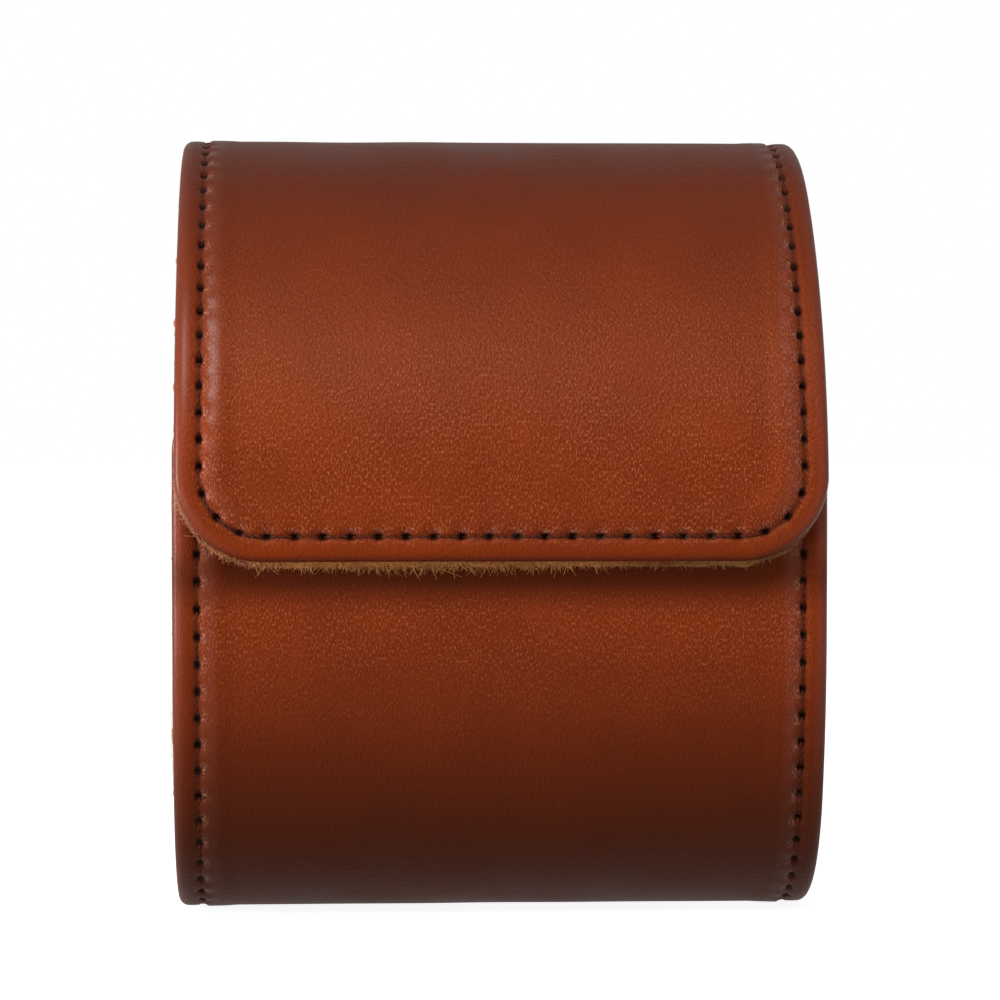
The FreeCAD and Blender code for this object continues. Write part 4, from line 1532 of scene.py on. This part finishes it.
@dataclass
class Cushion:
    """Removable cushion: an oval barrel of soft cloth with a crowned panel sewn into each end."""

    half_length: float = 38.3 * MM
    taper: float = 1.5 * MM
    crown: float = 1.52 * MM
    sides: int = 160
    cuts: int = 90
    rings: int = 16
    seam_pinch: float = 0.5 * MM
    seam_reach: float = 2.0 * MM
    gathers: int = 46
    gather: float = 0.16 * MM
    fullness: float = 2.35

    def build(self) -> None:
        low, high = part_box("cushion_cover")
        centre = (low + high) / 2
        half = (high - low) / 2
        length = 2 * self.half_length
        body = lying_cylinder("cushion_pad", self.sides, 1.0, length, self.cuts)
        cut_edges(body, lambda a, b: min(a.yz.length, b.yz.length) < 0.01, self.rings)
        rows = points_of(body)
        out = np.hypot(rows[:, 1], rows[:, 2])
        angle = np.arctan2(rows[:, 2], rows[:, 1])
        share = np.abs(rows[:, 0]) / self.half_length
        at_end = share > 0.9999
        waves = np.cos(angle * self.gathers + 2.0 * np.sin(3 * angle))
        seam = hump(np.abs(rows[:, 0]), self.half_length, self.seam_reach)
        inset = self.taper * share**2 + seam * (self.seam_pinch + self.gather * waves)
        inset = np.where(at_end, self.taper + self.seam_pinch, inset)
        y, z = self.oval(angle, half.y - inset, half.z - inset)
        scale = np.where(at_end, out, 1.0)
        rows[:, 1] = centre.y + y * scale
        rows[:, 2] = np.maximum(centre.z + z * scale, low.z)
        bulge = self.crown * np.clip(1 - out**2, 0, 1)
        bulge += self.gather * 0.6 * waves * hump(out, 0.93, 0.12)
        rows[:, 0] += np.where(at_end, np.sign(rows[:, 0]) * bulge, 0)
        place_points(body, rows)
        smooth(body, 70)
        dress(body, NapFinish("cream_cloth").build())
        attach(body, "cushion")
        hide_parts("cushion_cover", "cushion_end_left", "cushion_end_right", "cushion_foam")
        LOG.info("%s: %d faces", body.name, len(body.data.polygons))

    def oval(self, angle: Array, deep: Array, tall: Array) -> tuple[Array, Array]:
        """Finds points of a soft oval.

        Args:
            angle: Directions from its centre.
            deep: Half of the depth for each.
            tall: Half of the height for each.

        Returns:
            Places in depth and in height.
        """
        cosine, sine = np.cos(angle), np.sin(angle)
        y = np.sign(cosine) * np.abs(cosine) ** (2 / self.fullness) * deep
        z = np.sign(sine) * np.abs(sine) ** (2 / self.fullness) * tall
        return y, z


@dataclass
class Inside:
    """Felt, boards and magnets inside the wall, which keep their solids."""

    felt: HiddenFinish = HiddenFinish(
        "grey_felt", srgb(92, 88, 82), srgb(150, 146, 138), 1800.0, 0.2 * MM, 0.95
    )
    board: HiddenFinish = HiddenFinish(
        "pressed_board", srgb(128, 108, 82), srgb(172, 150, 118), 700.0, 0.08 * MM, 0.85
    )
    plating: HiddenFinish = HiddenFinish(
        "nickel_plate", srgb(168, 164, 158), srgb(206, 203, 198), 400.0, 0.01 * MM, 0.3, 1.0
    )

    def build(self) -> None:
        """Dresses the hidden pieces."""
        for finish, words, slot in (
            (self.felt, ("padding",), "felt"),
            (self.board, ("board",), "stiffener_board"),
            (self.plating, ("magnet_left", "magnet_right"), "magnet_plating"),
        ):
            material = finish.build()
            for part in ("shell", "flap"):
                for word in words:
                    dress(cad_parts[f"{part}_{word}"], material)


# Studio


def aim(thing: bpy.types.Object, place: Vector, way: Vector) -> None:
    """Puts a camera or a lamp at a place, facing a direction."""
    thing.location = place
    thing.rotation_euler = way.to_track_quat("-Z", "Y").to_euler()


@dataclass(frozen=True)
class Lamp:
    """Square soft lamp that faces a point above the middle of the floor."""

    name: str
    place: Place
    target: float
    size: float
    power: float

    def build(self) -> None:
        """Adds the lamp."""
        data = bpy.data.lights.new(self.name, "AREA")
        data.size = self.size
        data.energy = self.power
        place = Vector(self.place)
        aim(linked(self.name, data), place, Vector((0.0, 0.0, self.target)) - place)


@dataclass
class Studio:
    """Camera, lamps and floor."""

    centre: Place = (0.0, -0.035, 0.047)
    azimuth: float = 2.974
    elevation: float = 2.157
    distance: float = 0.3904
    focal_pixels: float = 3392.0
    middle: Point = (503.5, 528.2)
    picture: float = 1000.0
    sensor: float = 36.0
    white: Colour = (1.0, 1.0, 1.0, 1.0)
    sky: Colour = (0.9, 0.95, 1.0, 1.0)
    lamps: tuple[Lamp, ...] = (
        Lamp("key", (-0.15, -0.6, 0.66), 0.055, 0.34, 5.4),
        Lamp("side", (-0.8, -0.15, 0.1), 0.05, 0.24, 6.0),
        Lamp("fill", (0.55, -0.75, 0.3), 0.045, 0.5, 0.2),
        Lamp("glint", (-0.4, -0.62, 0.05), 0.05, 0.08, 0.4),
    )

    def build(self) -> None:
        """Makes everything round the case."""
        self.camera()
        self.floor()
        self.world()
        for lamp in self.lamps:
            lamp.build()
        bpy.context.scene.view_settings.view_transform = "Standard"

    def camera(self) -> None:
        """Places the camera at the photograph's viewing angle."""
        turn, rise = math.radians(self.azimuth), math.radians(self.elevation)
        back = Vector(
            (-math.sin(turn) * math.cos(rise), -math.cos(turn) * math.cos(rise), math.sin(rise))
        )
        data = bpy.data.cameras.new("camera")
        data.sensor_width = self.sensor
        data.lens = self.sensor * self.focal_pixels / self.picture
        data.shift_x = (self.picture / 2 - self.middle[0]) / self.picture
        data.shift_y = (self.middle[1] - self.picture / 2) / self.picture
        data.clip_start, data.clip_end = 0.01, 20.0
        camera = linked("camera", data)
        aim(camera, Vector(self.centre) + back * self.distance, -back)
        bpy.context.scene.camera = camera

    def floor(self) -> None:
        """Lays a pale floor that shows white and keeps the case's shadow."""
        bpy.ops.object.select_all(action="DESELECT")
        bpy.ops.mesh.primitive_plane_add(size=6.0, location=(0.0, 0.0, -0.3 * MM))
        ground = named("ground")
        graph = new_graph("pale_ground")
        dim, pale = (
            graph.out("ShaderNodeBsdfDiffuse", inputs={"Color": (grey, grey, grey, 1.0)})
            for grey in (0.3, 0.6)
        )
        glow = graph.glow("ShaderNodeEmission", self.white, 0.9)
        seen = graph.out("ShaderNodeAddShader", inputs={0: pale, 1: glow})
        graph.backdrop("ShaderNodeOutputMaterial", dim, seen)
        ground.data.materials.append(graph.owner)

    def world(self) -> None:
        """Surrounds the case with white where it is seen, and with a dim soft light."""
        world = bpy.data.worlds.new("studio")
        bpy.context.scene.world = world
        graph = Graph(world)
        soft = graph.glow("ShaderNodeBackground", self.sky, 0.22)
        white = graph.glow("ShaderNodeBackground", self.white, 1.0)
        graph.backdrop("ShaderNodeOutputWorld", soft, white)


def main() -> None:
    """Builds the whole scene."""
    logging.basicConfig(level=logging.INFO, format="%(message)s")
    bpy.ops.object.select_all(action="DESELECT")
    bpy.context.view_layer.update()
    Case().build()
    Cushion().build()
    Inside().build()
    Studio().build()


if __name__ == "__main__":
    main()
